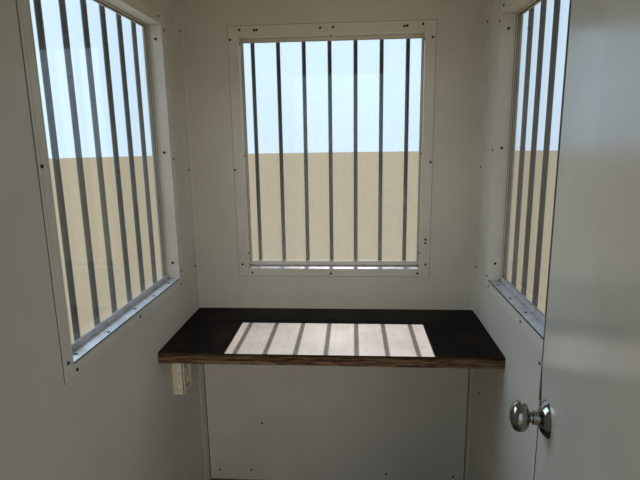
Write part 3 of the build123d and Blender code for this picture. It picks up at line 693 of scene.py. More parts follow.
def bolt_head(corners, washer):
    """A hexagon bolt head on its washer."""
    thickness = corners * 0.11
    bm = turned((
        (washer * 0.2, -LET_IN), (washer / 2, -LET_IN), (washer / 2, thickness * 0.8),
        (washer * 0.46, thickness), (washer * 0.2, thickness),
    ), 24)
    bmesh.ops.holes_fill(bm, edges=open_edges(bm))
    hexagon = bmesh.ops.create_circle(bm, segments=6, radius=corners / 2, cap_ends=True)["verts"]
    bmesh.ops.translate(bm, vec=(0, 0, thickness), verts=hexagon)
    raised = bmesh.ops.extrude_face_region(bm, geom=[hexagon[0].link_faces[0]])["geom"]
    top = verts_among(raised)
    bmesh.ops.translate(bm, vec=(0, 0, corners * 0.36), verts=top)
    rim = [edge for edge in bm.edges if all(vert in top for vert in edge.verts)]
    round_off(bm, rim, corners * 0.06)
    return bm


def weld_bead(length_along, width):
    """A weld bead: a low rippled ridge along X."""
    bm = bmesh.new()
    bmesh.ops.create_uvsphere(bm, u_segments=12, v_segments=8, radius=0.5)
    bmesh.ops.rotate(bm, cent=(0, 0, 0), matrix=Matrix.Rotation(math.pi / 2, 3, "Y"), verts=bm.verts)
    bmesh.ops.scale(bm, vec=(length_along, width, width), verts=bm.verts)
    for vert in bm.verts:
        vert.co.y *= 1 + 0.12 * math.sin(vert.co.x * math.tau / (width * 0.6))
    return bm


def ring(width, height, band, low, high, rounding):
    """A mitred rectangular ring: a band inside its outer size, rounded along its long edges."""
    bm = bmesh.new()
    bmesh.ops.create_grid(bm, x_segments=1, y_segments=1, size=0.5)
    bmesh.ops.scale(bm, vec=(width, height, 1), verts=bm.verts)
    bmesh.ops.translate(bm, vec=(0, 0, low), verts=bm.verts)
    kept = bmesh.ops.inset_region(
        bm, faces=bm.faces[:], thickness=band, use_even_offset=True, use_boundary=True
    )["faces"]
    bmesh.ops.delete(bm, geom=[face for face in bm.faces if face not in kept], context="FACES")
    raised = bmesh.ops.extrude_face_region(bm, geom=bm.faces[:])["geom"]
    bmesh.ops.translate(bm, vec=(0, 0, high - low), verts=verts_among(raised))
    lengthwise = [
        edge for edge in bm.edges
        if abs(edge.verts[0].co.z - edge.verts[1].co.z) < 1e-7 and edge.calc_face_angle(0) > 0.5
    ]
    round_off(bm, lengthwise, rounding, segments=3)
    return bm


def bar(low, high, rounding):
    """A straight bar between two corners, with its edges rounded."""
    bm = bmesh.new()
    bmesh.ops.create_cube(bm, size=1)
    bmesh.ops.scale(bm, vec=Vector(high) - Vector(low), verts=bm.verts)
    bmesh.ops.translate(bm, vec=(Vector(high) + Vector(low)) / 2, verts=bm.verts)
    round_off(bm, bm.edges[:], rounding)
    return bm


def joined(parts, matrix):
    """Put several small meshes in one, placed by a matrix, and free them."""
    sample = bpy.data.meshes.new("pattern")
    bm = bmesh.new()
    for part in parts:
        part.to_mesh(sample)
        part.free()
        bm.from_mesh(sample)
    bpy.data.meshes.remove(sample)
    bmesh.ops.transform(bm, matrix=matrix, verts=bm.verts)
    return bm


def extent(matrix, node):
    """A CAD node's lowest and highest corner along the axes of a matrix."""
    shape = frame["nodes"][node]
    into = matrix.inverted() @ shape.matrix_world
    points = [into @ vert.co for vert in shape.data.vertices]
    return [
        Vector([pick(point[axis] for point in points) for axis in range(3)]) for pick in (min, max)
    ]


def measure_window(side):
    """Measure a window and its pieces along the window's own axes.

    The axes take x along the window, to the left as seen from the room, y up and z out through
    the wall, from the middle of the opening on the wall's inner face. Each piece is given by
    its lowest and its highest corner.
    """
    wall_low, wall_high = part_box(f"{side}_wall")
    pane_low, pane_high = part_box(f"{side}_window_pane")
    tray_low, tray_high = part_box(f"{side}_sill_tray")
    middle = (pane_low + pane_high) / 2
    if side == "front":
        outward, middle.y = Vector((0, 1, 0)), wall_low.y
    elif side == "left":
        outward, middle.x = Vector((-1, 0, 0)), wall_high.x
    else:
        outward, middle.x = Vector((1, 0, 0)), wall_low.x
    turn = Matrix((UP.cross(outward), UP, outward)).transposed().to_4x4()
    axes = Matrix.Translation(middle) @ turn
    return SimpleNamespace(
        axes=axes,
        width=max(tray_high - tray_low),
        height=2 * (middle.z - tray_low.z),
        wall=extent(axes, f"{side}_wall"),
        trim=extent(axes, f"{side}_window_trim"),
        frame=extent(axes, f"{side}_window_frame"),
        pane=extent(axes, f"{side}_window_pane"),
        tray=extent(axes, f"{side}_sill_tray"),
        bars=extent(axes, f"{side}_window_bars"),
    )


def facing(matrix, x, y, z, direction, turn=0.0):
    """A place for a fixing whose head faces a direction of that matrix's own axes."""
    head = Vector(direction).to_track_quat("Z", "Y").to_matrix().to_4x4()
    return matrix @ Matrix.Translation((x, y, z)) @ head @ Matrix.Rotation(turn, 4, "Z")


def leaf_axes():
    """The open door leaf's matrix: x along it from the hinge, y towards its outer face, z up."""
    hinge = Vector(JOINTS["door_swing"]["pos_m"])
    outward = Vector(JOINTS["knob_turn"]["axis"]).normalized()
    turn = Matrix((outward.cross(UP), outward, UP)).transposed().to_4x4()
    return Matrix.Translation((hinge.x, hinge.y, 0)) @ turn


class CABIN_OT_finish_shell(bpy.types.Operator):
    """Paint the walls, roof, base and trims, lay the floor and rivet the outside angles"""

    bl_idname = "cabin.finish_shell"
    bl_label = "Finish the shell"

    def execute(self, context):
        look, sizes = context.scene.cabin_colours, context.scene.cabin_sizes
        dress(wearing("wall_paint"), painted_steel(
            "coil_coated_wall_panel", look.wall, look, gloss=0.42, dirt=0.5, wave=300))
        dress(wearing("trim_paint"), painted_steel(
            "painted_folded_trim", look.trim, look, gloss=0.38, dirt=0.8, wave=120))
        dress(wearing("roof_steel"), painted_steel(
            "coated_roof_sheet", look.roof, look, gloss=0.42, dirt=0.9, wave=400))
        dress(wearing("base_steel"), chipped_paint(
            "painted_base_steel", look.base, look, chip=18, rusted=0.9))
        dress(wearing("deck"), sheet_vinyl(look))
        zinc = plated_steel("dull_zinc_plate", look.zinc, look, gloss=0.4)
        dark = plated_steel("dulled_dark_screw", look.screws, look, gloss=0.45)

        # rivets up both legs of each corner angle
        places = []
        for node in wearing("trim_paint"):
            if not node.startswith("corner_angle"):
                continue
            low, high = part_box(node)
            middle = (low + high) / 2
            right, front = math.copysign(1, middle.x), math.copysign(1, middle.y)
            count = int((high.z - low.z) / sizes.rivet_pitch)
            for i in range(count):
                z = middle.z + (i - (count - 1) / 2) * sizes.rivet_pitch
                for direction in (Vector((right, 0, 0)), Vector((0, front, 0))):
                    x = (high.x if right > 0 else low.x) if direction.x else middle.x
                    y = (high.y if front > 0 else low.y) if direction.y else middle.y
                    places.append(facing(Matrix(), x, y, z, direction, turn=i * 0.7))
        add_fixings(blind_rivet(sizes.rivet), places, "corner_rivets", zinc)

        # roof screws stand in the valleys, midway between the ribs, in five rows
        low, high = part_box("roof_sheet")
        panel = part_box("roof_panel")[1]
        tilt = math.atan2(sizes.roof_rise, high.y - low.y)
        eave = panel.z + sizes.roof_eave
        rows = (low.y * 0.92, low.y * 0.45, 0, high.y * 0.45, high.y * 0.92)
        places = [
            facing(Matrix(), i * sizes.rib_pitch, y, eave + math.tan(tilt) * (y - low.y),
                   (0, -math.sin(tilt), 1), turn=i + 2 * y)
            for i in range(-2, 3) for y in rows
        ]
        add_fixings(bolt_head(sizes.bolt * 0.7, sizes.washer), places, "roof_screws", zinc)

        # screws low down in the front wall, two in the right wall, and some up each corner strip
        low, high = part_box("floor_deck")
        strip_gauge, strip_screws = 0.002, 0.021
        strip_face = high.x - strip_gauge
        places = [
            facing(Matrix(), low.x + across, high.y, high.z + up, (0, -1, 0), turn=across * 9)
            for across, up in FRONT_WALL_FIXINGS
        ] + [
            facing(Matrix(), high.x, high.y - back, high.z + up, (-1, 0, 0), turn=back * 9)
            for back, up in RIGHT_WALL_FIXINGS
        ] + [
            facing(Matrix(), way * strip_face, high.y - strip_screws, high.z + up, (-way, 0, 0),
                   turn=up * 7)
            for way in (-1, 1) for up in STRIP_FIXINGS
        ]
        add_fixings(pan_head(sizes.screw, sizes.screw_height), places, "wall_screws", dark)

        # painted shade: a dark strip fills the fold of each corner strip under the desk, where the gap beside it
        # lies in shade
        dirt = soft_seal("painted_shade_in_strip_folds", look.joint, look, gloss=0.8)
        fold = high.y - strip_gauge
        foot, top = high.z + 0.001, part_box("desk_top")[0].z - 0.001
        lines = []
        for way in (-1, 1):
            near, far = sorted((way * strip_face, way * (strip_face - sizes.fold_shade)))
            lines.append(bar((near, fold - 0.0008, foot), (far, fold + LAP, top), 0.0002))
        add_piece(joined(lines, Matrix()), "strip_fold_shade", dirt)
        return {"FINISHED"}


def add_ring(axes, name, material, size, centre, band, low, high):
    """Add a mitred ring, laid round a window between two depths of its wall."""
    shape = ring(*size, band, low, high, min(band, high - low) * 0.25)
    bmesh.ops.translate(shape, vec=(*centre, 0), verts=shape.verts)
    bmesh.ops.transform(shape, matrix=axes, verts=shape.verts)
    add_piece(shape, name, material)


def finish_trim(side, fit, sizes, paint, dark, dirt):
    """Screw a window's trim on, press two beads in its face and draw dark lines of painted shade round it."""
    axes, (low, high) = fit.axes, fit.trim

    # pan heads in the trim's face, three up each of its side reveals and one overhead. Those in
    # the reveals share a depth, and the lowest stands some way over the sill, the middle one
    # near half height and the highest some way under the head.
    heads = FRONT_TRIM_SCREWS if side == "front" else SIDE_TRIM_SCREWS
    depth, rise = 0.020, 0.063
    middle, drop = (0.008, 0.022) if side == "front" else (0.020, 0.046)
    levels = (rise - fit.height / 2, middle, fit.height / 2 - drop)
    places = [
        facing(axes, -x, y, low.z, (0, 0, -1), turn=17 * x + 29 * y) for x, y in heads
    ] + [
        facing(axes, leg * fit.width / 2, y, depth, (-leg, 0, 0), turn=leg + y * 9)
        for leg in (-1, 1) for y in levels
    ] + [facing(axes, 0, fit.height / 2, depth, (0, -1, 0))]
    add_fixings(pan_head(sizes.screw, sizes.screw_height), places, f"{side}_trim_screws", dark)

    # one bead runs near the trim's outer edge and one round the opening
    size, centre = (high - low).xy, ((high + low) / 2).xy
    opening = Vector((fit.width, fit.height))
    add_ring(axes, f"{side}_trim_bead", paint, size - BOTH * sizes.trim_bead, centre, 0.0026,
             low.z - 0.0009, low.z + LAP)
    add_ring(axes, f"{side}_reveal_bead", paint, opening + BOTH * 0.003, (0, 0), 0.003,
             low.z - 0.0008, low.z + LAP)

    # painted shade: a dark line runs along the trim's edge on the wall, where the trim's shadow falls, and over
    # the tray another one parts the trim from the glazing frame, in the shaded corner between them
    add_ring(axes, f"{side}_wall_shadow_line", dirt, size + BOTH * sizes.joint, centre, sizes.joint,
             -0.0008, LAP)
    sill, seat, fine = fit.tray[1].y, fit.frame[0].z, sizes.joint * 0.6
    add_ring(axes, f"{side}_frame_shadow_line", dirt, (fit.width, fit.height / 2 - sill),
             (0, (fit.height / 2 + sill) / 2), fine, seat - fine, seat)


def finish_tray(side, fit, sizes, aluminium, paint, dark, rubber, dirt):
    """Give a sill tray a rolled nose, two low ribs and dark spots of painted shade in its back corners.

    The front tray also gets a rising floor and a painted cap, the side trays screws and a black strip of painted
    shade.
    """
    axes, (low, high) = fit.axes, fit.tray
    # the tray's half length and its flat level, the bead's face and the foot of its slope
    end = fit.width / 2 - 0.001
    level = low.y + sizes.tray_gauge
    bead = high.z - sizes.tray_bead
    foot = bead - sizes.tray_slope
    rise = sizes.tray_rise if side == "front" else 0
    rib_level, rib_half = level + rise * 0.8, 0.0008
    parts = [
        bar((-end, high.y - 0.0014, bead - 0.0012), (end, high.y + 0.0008, bead + 0.0012), 0.0008)
    ] + [
        bar((-end, rib_level - LET_IN, foot - back - rib_half),
            (end, rib_level + 0.0008, foot - back + rib_half), 0.0005)
        for back in (0.0045, 0.0095)
    ]
    if rise:
        # the front tray's floor rises to its bead
        floor = bar((-end, level - 0.0002, low.z + 0.0002), (end, level + rise, foot + LET_IN), LAP)
        for vert in floor.verts:
            if vert.co.z < foot - 0.01 and vert.co.y > level:
                vert.co.y -= rise - 0.0003
        parts.append(floor)
    add_piece(joined(parts, axes), f"{side}_tray_ribs", aluminium)
    # painted shade: dark spots sit in the tray's two back corners
    corners = [
        axes @ Matrix.Translation((way * (end - 0.002), level + rise + 0.0015, foot - 0.001))
        for way in (-1, 1)
    ]
    add_piece(repeated(weld_bead(0.007, 0.005), corners), f"{side}_tray_corner_shade", dirt)
    if side == "front":
        # a painted cap over the bead, and under it, at the bead's foot, a dark line of painted shadow
        cap = bar((-end, level + rise + 0.0012, foot - 0.0006),
                  (end, high.y + 0.0012, bead + 0.0014), 0.0007)
        add_piece(joined([cap], axes), "front_tray_cap", paint)
        line = bar((-end, level + rise - 0.0002, foot - LET_IN),
                   (end, level + rise + 0.0013, foot + 0.0002), 0.0002)
        add_piece(joined([line], axes), "front_tray_shadow_line", dirt)
        return
    places = [
        facing(axes, x if side == "right" else -x, level, into, (0, 1, 0), turn=x * 40)
        for x, into in TRAY_SCREWS
    ]
    add_fixings(pan_head(sizes.tray_screw, sizes.screw_height * 0.7), places,
                f"{side}_tray_screws", dark)
    # painted shade: a strip of black rubber fills the shaded gap between the tray's front edge and the trim
    strip = bar((-fit.width / 2, low.y, fit.trim[0].z + LET_IN),
                (fit.width / 2, level + 0.0006, low.z + 0.0006), 0.0006)
    add_piece(joined([strip], axes), f"{side}_tray_shade_strip", rubber)


def glaze(side, fit, sizes, enamel, silicone, rubber):
    """Bed a pane in gaskets on both its faces, and seal its frame's flange to the wall."""
    axes, (pane_low, pane_high), (frame_low, frame_high) = fit.axes, fit.pane, fit.frame
    light = (pane_high - pane_low).xy - BOTH * sizes.pane_cover
    middle = ((pane_high + pane_low) / 2).xy
    if side == "front":
        # painted beads over the top of the light, inside and outside, and a sill outside
        half, top = light.x / 2, middle.y + light.y / 2
        bottom, sill = 0.0052 - fit.height / 2, fit.tray[1].y + 0.0022
        inner, outer = pane_low.z - 0.0002, pane_high.z + 0.0002
        strips = [
            bar((-half, top - sizes.head_bead, pane_low.z - 0.004), (half, top, inner), 0.0008),
            bar((-half, top - sizes.head_bead, outer), (half, top, frame_high.z - 0.001), 0.0008),
            bar((-half, bottom, outer), (half, sill, frame_high.z + 0.0015), 0.0008),
        ]
        add_piece(joined(strips, axes), "front_glazing_beads", enamel)
        light.y -= sizes.head_bead
        middle.y -= sizes.head_bead / 2
    gasket, thick = silicone if side == "front" else rubber, 0.0012
    add_ring(axes, f"{side}_inner_gasket", gasket, light, middle, sizes.gasket,
             pane_low.z - thick, pane_low.z - LAP)
    add_ring(axes, f"{side}_outer_gasket", gasket, light, middle, sizes.gasket,
             pane_high.z + LAP, pane_high.z + thick)
    # a painted bead holds the outer gasket
    add_ring(axes, f"{side}_outer_bead", enamel, light, middle, sizes.gasket,
             pane_high.z + 0.004, frame_high.z - 0.0005)
    # silicone runs round the flange on the wall
    wall = fit.wall[1].z
    add_ring(axes, f"{side}_sealant_bead", silicone,
             (frame_high - frame_low).xy + BOTH * sizes.sealant,
             ((frame_high + frame_low) / 2).xy, sizes.sealant, wall, wall + sizes.sealant * 0.5)


def finish_grille(side, fit, sizes, paint, zinc):
    """Bolt a window's rails on, outside the end bars and beside the middle one, and weld its bars."""
    axes, (low, high) = fit.axes, fit.bars
    pitch = (high.x - low.x - sizes.bar - 2 * sizes.rail_overrun) / 6
    middle = (high.x + low.x) / 2
    face = fit.frame[1].z + sizes.rail_gauge
    levels = (low.y + sizes.bar_overrun + sizes.rail / 2,
              high.y - sizes.bar_overrun - sizes.rail / 2)
    end = high.x - middle - sizes.rail_overrun / 2
    places = [
        facing(axes, middle + x, y, face, (0, 0, 1), turn=x * 30 + y)
        for y in levels for x in (-end, -pitch / 2, pitch / 2, end)
    ]
    add_fixings(bolt_head(sizes.bolt, sizes.rail_overrun * 0.9), places, f"{side}_rail_bolts", zinc)
    beside = sizes.bar * 0.45
    places = [
        axes @ Matrix.Translation((middle + i * pitch + way * beside, y, face + 0.0006))
        @ Matrix.Rotation(math.pi / 2, 4, "Z")
        for y in levels for i in range(-3, 4) for way in (-1, 1)
    ]
    add_piece(repeated(weld_bead(sizes.rail * 0.85, sizes.weld), places),
              f"{side}_bar_welds", paint)


class CABIN_OT_finish_windows(bpy.types.Operator):
    """Glaze the windows, paint frames and bars, and add seals, screws, bolts and welds"""

    bl_idname = "cabin.finish_windows"
    bl_label = "Finish the windows"

    def execute(self, context):
        look, sizes = context.scene.cabin_colours, context.scene.cabin_sizes
        paint = finish_of("front_window_trim")
        enamel = painted_steel(
            "painted_glazing_frame", look.glazing, look, gloss=0.45, dirt=1.3, wave=120)
        dress(wearing("frame_paint"), enamel)
        bars = chipped_paint("weathered_bar_paint", look.bars, look, chip=9, rusted=0.5)
        dress(wearing("bar_steel"), bars)
        rubber = soft_seal("black_glazing_rubber", look.rubber, look, gloss=0.6)
        silicone = soft_seal("aged_silicone_bead", look.sealant, look, gloss=0.45)
        dark = plated_steel("dulled_trim_screw", look.screws, look, gloss=0.45)
        zinc = plated_steel("zinc_bolt", look.zinc, look, gloss=0.42)
        # painted shade for the dark lines and spots round trims, frames and trays
        dirt = soft_seal("painted_shade_in_joints", look.joint, look, gloss=0.8)
        for side in SIDES:
            fit = measure_window(side)
            # rolling lines run along the tray, and the desk's window is the dustiest
            along, dust = (0, 1.6) if side == "front" else (1, 0.45)
            aluminium = mill_aluminium(f"mill_aluminium_{side}", look, along)
            dress([f"{side}_sill_tray"], aluminium)
            dress([f"{side}_window_pane"], window_glass(f"dusty_float_glass_{side}", look, dust))
            finish_trim(side, fit, sizes, paint, dark, dirt)
            finish_tray(side, fit, sizes, aluminium, paint, dark, rubber, dirt)
            glaze(side, fit, sizes, enamel, silicone, rubber)
            finish_grille(side, fit, sizes, bars, zinc)
        return {"FINISHED"}


class CABIN_OT_finish_desk(bpy.types.Operator):
    """Stain the desk and screw its battens to the walls"""

    bl_idname = "cabin.finish_desk"
    bl_label = "Finish the desk"

    def execute(self, context):
        look, sizes = context.scene.cabin_colours, context.scene.cabin_sizes
        dress(wearing("desk_ply"), stained_plywood(look))
        dress(wearing("batten_wood"), planed_softwood(look))
        low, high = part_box("desk_battens")
        level = (low.z + high.z) / 2
        along_sides = (low.y + 0.05, (low.y + high.y) / 2, high.y - 0.07)
        along_front = (-0.46, -0.16, 0.14, 0.44)
        places = [
            facing(Matrix(), end * (high.x - sizes.batten), y, level, (-end, 0, 0), turn=y * 20)
            for end in (-1, 1) for y in along_sides
        ] + [
            facing(Matrix(), x, high.y - sizes.batten, level, (0, -1, 0), turn=x * 20)
            for x in along_front
        ]
        zinc = plated_steel("zinc_wood_screw", look.zinc, look, gloss=0.42)
        add_fixings(pan_head(sizes.screw, sizes.screw_height), places, "batten_screws", zinc)
        return {"FINISHED"}


class CABIN_OT_finish_socket(bpy.types.Operator):
    """Finish the socket box: rims, pin holes, earth clips and centre screw"""

    bl_idname = "cabin.finish_socket"
    bl_label = "Finish the socket box"

    def execute(self, context):
        look, sizes = context.scene.cabin_colours, context.scene.cabin_sizes
        plastic = moulded_plastic(look, "yellowed_moulded_plastic", look.socket)
        dress(wearing("socket_plastic"), plastic)
        # painted shade for the depth of the pin holes
        rubber = soft_seal("painted_shade_pin_hole", look.rubber, look, gloss=0.7)
        zinc = plated_steel("plated_earth_clip", look.zinc, look, gloss=0.3)
        low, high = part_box("socket_face")
        middle = (low + high) / 2
        bottom = high.x - sizes.cup_depth
        cups = [middle.z + side_of * sizes.cup_pitch / 2 for side_of in (-1, 1)]
        radius = sizes.cup / 2

        # a pale cover stands a little off the box. A dark ring of painted shade fills the gap behind its border,
        # and the cover's paler plastic is partly painted light from the right window
        cover = moulded_plastic(look, "paler_socket_cover_and_painted_light", look.cover)
        dress(["socket_face"], cover)
        dirt = soft_seal("painted_shade_in_socket_gap", look.joint, look, gloss=0.8)
        turn = Matrix.Rotation(math.pi / 2, 4, "Y") @ Matrix.Rotation(math.pi / 2, 4, "Z")
        front = Matrix.Translation((high.x, middle.y, middle.z)) @ turn
        wide, tall = high.y - low.y, high.z - low.z
        gap, thick = 0.0030, 0.0060
        add_piece(joined([ring(wide - 0.003, tall - 0.003, 0.006, -LET_IN, gap, 0.0003)], front),
                  "socket_gap", dirt)
        band = wide / 2 - radius - 0.004
        add_piece(joined([ring(wide - 0.0015, tall - 0.0015, band, gap, thick, 0.0008)], front),
                  "socket_cover", cover)

        rim = turned((
            (radius, -0.001), (radius, 0.0008), (radius + 0.0008, 0.0014), (radius + 0.0022, 0.0014),
            (radius + 0.003, 0.0008), (radius + 0.003, -0.001), (radius, -0.001),
        ), 48)
        places = [facing(Matrix(), high.x, middle.y, z, (1, 0, 0)) for z in cups]
        add_piece(repeated(rim, places), "socket_rims", plastic)

        hole = sizes.pin_hole / 2
        pins = [(middle.y + side_of * 0.0095, z) for z in cups for side_of in (-1, 1)]
        places = [facing(Matrix(), bottom, y, z, (1, 0, 0)) for y, z in pins]
        collar = turned((
            (hole, -LET_IN), (hole, 0.0008), (hole + 0.0008, 0.0008), (hole + 0.0012, 0.0002),
            (hole + 0.0012, -LET_IN), (hole, -LET_IN),
        ), 20)
        add_piece(repeated(collar, places), "pin_collars", plastic)
        # painted shade: a dark disc inside each collar stands for the depth of its pin hole
        well = turned(((hole * 0.3, 0.0002), (hole, 0.0002), (hole, -0.0003)), 20)
        bmesh.ops.holes_fill(well, edges=open_edges(well))
        add_piece(repeated(well, places), "pin_hole_shade", rubber)

        clip = bar((-0.0025, -0.0007, 0), (0.0025, 0.0007, sizes.cup_depth * 0.75), 0.0004)
        places = [
            facing(Matrix(), bottom, middle.y, z + side_of * (radius - 0.0012), (1, 0, 0))
            @ Matrix.Rotation(math.pi / 2, 4, "Z")
            for z in cups for side_of in (-1, 1)
        ]
        add_fixings(clip, places, "earth_clips", zinc)
        centre = facing(Matrix(), high.x, middle.y, middle.z, (1, 0, 0))
        add_fixings(pan_head(0.006, 0.0012), [centre], "socket_screw", zinc)
        return {"FINISHED"}


class CABIN_OT_finish_door(bpy.types.Operator):
    """Coat the door leaf and add its edge angles with dark lines of painted shade beside them, lock fittings,
    hinge screws and seals
    """

    bl_idname = "cabin.finish_door"
    bl_label = "Finish the door"

    def execute(self, context):
        look, sizes = context.scene.cabin_colours, context.scene.cabin_sizes
        coat = door_coating(look)
        dress(wearing("door_paint"), coat)
        chrome = polished_chrome(look)
        dress(wearing("chrome"), chrome)
        zinc = plated_steel("zinc_plated_hinge", look.zinc, look, gloss=0.38)
        dress(wearing("hinge_steel"), zinc)
        aluminium = mill_aluminium("mill_aluminium_threshold", look, 0)
        dress(wearing("threshold_aluminium"), aluminium)
        # black rubber for the frame's seals, and for the dark lines, slot and mouth of painted shade on the leaf,
        # knob and jamb
        rubber = soft_seal("black_door_rubber", look.rubber, look, gloss=0.6)
        axes = leaf_axes()
        low, high = extent(axes, "door_leaf")
        leg, gauge = sizes.edge_angle, 0.0007

        # an angle down each long corner of the latch edge, with a dark line of painted shade beside it for the
        # shaded gap at the edge. The angle's leg ends at the knob, and over it the dark line runs out to the edge
        # through a wedge.
        knob = Vector(JOINTS["knob_turn"]["pos_m"])
        foot, top = low.z + 0.002, high.z - 0.002
        wedge_top, wedge_spread, edge = knob.z + 0.063, 0.0125, high.x - 0.0004
        for place, face, outward in (("outer", high.y, 1), ("inner", low.y, -1)):
            proud = face + outward * gauge
            reach = sorted((face - outward * 0.0002, proud))
            hem = sorted((face - outward * 0.006, proud))
            angle = joined([
                bar((high.x - leg, reach[0], foot), (high.x + gauge, reach[1], knob.z), 0.0002),
                bar((high.x - 0.0002, hem[0], foot), (high.x + gauge, hem[1], top), 0.0002),
            ], axes)
            add_piece(angle, f"leaf_{place}_angle", coat, body="door")
            line = sorted((face - outward * 0.0002, face + outward * 0.0009))
            wedge = bar((high.x - 0.0045, line[0], knob.z), (edge, line[1], wedge_top), 0.0003)
            for vert in wedge.verts:
                if vert.co.z < knob.z + 0.03 and vert.co.x < high.x - 0.003:
                    vert.co.x -= wedge_spread
            shade_line = joined([
                bar((high.x - leg - 0.003, line[0], foot), (high.x - leg, line[1], knob.z), 0.0003),
                wedge,
                bar((high.x - 0.0035, line[0], wedge_top), (edge, line[1], top), 0.0003),
            ], axes)
            add_piece(shade_line, f"leaf_{place}_seal", rubber, body="door")

        # key cylinder in the outer knob, turn button in the inner one
        knob_low, knob_high = extent(axes, "knob_pair")
        at = axes.inverted() @ knob
        radius = sizes.cylinder / 2
        plug = turned((
            (radius * 0.3, 0.0006), (radius * 0.82, 0.0006), (radius * 0.9, 0.0003), (radius, 0.0003),
            (radius, -LET_IN),
        ), 24)
        bmesh.ops.holes_fill(plug, edges=open_edges(plug))
        plug = repeated(plug, [facing(axes, at.x, knob_high.y, at.z, (0, 1, 0))])
        add_piece(plug, "key_cylinder", zinc, body="knobs")
        # painted shade: a thin black bar on the plug stands for the dark keyway
        keyway = bar((at.x - 0.0006, knob_high.y + 0.0002, at.z - 0.003),
                     (at.x + 0.0006, knob_high.y + 0.0008, at.z + 0.003), 0.0002)
        add_piece(joined([keyway], axes), "key_slot_shade", rubber, body="knobs")
        button = bar((at.x - 0.0012, knob_low.y - 0.0035, at.z - 0.0042),
                     (at.x + 0.0012, knob_low.y + 0.0005, at.z + 0.0042), 0.0009)
        add_piece(joined([button], axes), "turn_button", chrome, body="knobs")

        # flush screws in both plates of each hinge, in the plate's middle
        plate_low, plate_high = extent(Matrix(), "jamb_hinges")
        leaf_plate = extent(axes, "leaf_hinges")[1]
        count, gauge, inset, flush = 3, 0.002, 0.014, 0.0004
        span = plate_high.z - plate_low.z - sizes.hinge
        levels = [
            plate_low.z + sizes.hinge / 2 + span * i / (count - 1) + rise
            for i in range(count) for rise in (-sizes.hinge / 3, 0, sizes.hinge / 3)
        ]
        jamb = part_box("threshold")[1].x
        places = [
            facing(Matrix(), jamb - gauge, plate_low.y + inset, z, (-1, 0, 0), turn=z * 50)
            for z in levels
        ]
        add_fixings(pan_head(sizes.hinge_screw, flush), places, "jamb_hinge_screws", zinc)
        places = [
            facing(axes, low.x - gauge, leaf_plate.y - inset, z, (-1, 0, 0), turn=z * 30)
            for z in levels
        ]
        add_fixings(pan_head(sizes.hinge_screw, flush), places, "leaf_hinge_screws", zinc, "door")

        # strike plate on the latch jamb, where the closed leaf's middle comes, with a dark bar of painted shade
        # for its mouth
        latch_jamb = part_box("threshold")[0].x
        turn = Matrix.Rotation(math.pi / 2, 4, "Y") @ Matrix.Rotation(math.pi / 2, 4, "Z")
        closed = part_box("back_wall_right")[1].y - 0.020
        set_in = Matrix.Translation((latch_jamb, closed, at.z)) @ turn
        plate = joined([ring(0.024, 0.070, 0.0065, 0, 0.0008, 0.0003)], set_in)
        add_piece(plate, "strike_plate", zinc)
        mouth = bar((latch_jamb - 0.0003, closed - 0.0055, at.z - 0.0285),
                    (latch_jamb + 0.0003, closed + 0.0055, at.z + 0.0285), 0.0001)
        add_piece(mouth, "strike_mouth_shade", rubber)

        # a rubber bulb along the stops of the hinge jamb and the head
        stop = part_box("door_frame")[0].y + sizes.stop
        head = high.z + sizes.leaf_gap
        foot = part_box("threshold")[1].z
        bulb = 0.0036
        runs = (
            ("hinge", (jamb - 0.008, foot), (jamb - 0.003, head - 0.003)),
            ("head", (latch_jamb + 0.008, head - 0.008), (jamb - 0.008, head - 0.003)),
        )
        for place, (x0, z0), (x1, z1) in runs:
            shade_line = bar((x0, stop, z0), (x1, stop + bulb, z1), 0.0015)
            add_piece(shade_line, f"frame_seal_{place}", rubber)

        # ribs and screws on the threshold
        low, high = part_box("threshold")
        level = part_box("floor_deck")[1].z
        half, inset, rib_pitch = 0.0013, 0.004, 0.0085
        ribs = joined([
            bar((low.x + inset, y - half, level - 0.0005), (high.x - inset, y + half, level + 0.0014),
                0.0005)
            for y in (high.y - inset - i * rib_pitch for i in range(5))
        ], Matrix())
        add_piece(ribs, "threshold_ribs", aluminium)
        margin, between_ribs = 0.05, 0.0168
        pitch = (high.x - low.x - 2 * margin) / 3
        places = [
            facing(Matrix(), low.x + margin + i * pitch, high.y - between_ribs, level, UP, turn=i)
            for i in range(4)
        ]
        add_fixings(pan_head(0.0062, 0.0012), places, "threshold_screws", zinc)
        return {"FINISHED"}


def add_lamp(name, kind, energy, tint, toward, at=(0, 0, 0), **settings):
    """Hang a lamp that shines in a direction. A spot leaves no mirror image of itself."""
    lamp = bpy.data.lights.new(name, kind)
    lamp.energy, lamp.color = energy, tint
    for key, value in settings.items():
        setattr(lamp, key, value)
    holder = bpy.data.objects.new(name, lamp)
    holder.location = at
    holder.rotation_euler = Vector(toward).to_track_quat("-Z", "Y").to_euler()
    holder.visible_camera = False
    holder.visible_glossy = kind != "SPOT"
    bpy.context.scene.collection.objects.link(holder)
    return holder


def light_group(name, shapes, state):
    """Collect the pieces that a lamp's light includes or excludes."""
    group = bpy.data.collections.new(name)
    for shape in shapes:
        group.objects.link(shape)
    for member in group.collection_objects:
        member.light_linking.link_state = state
    return group


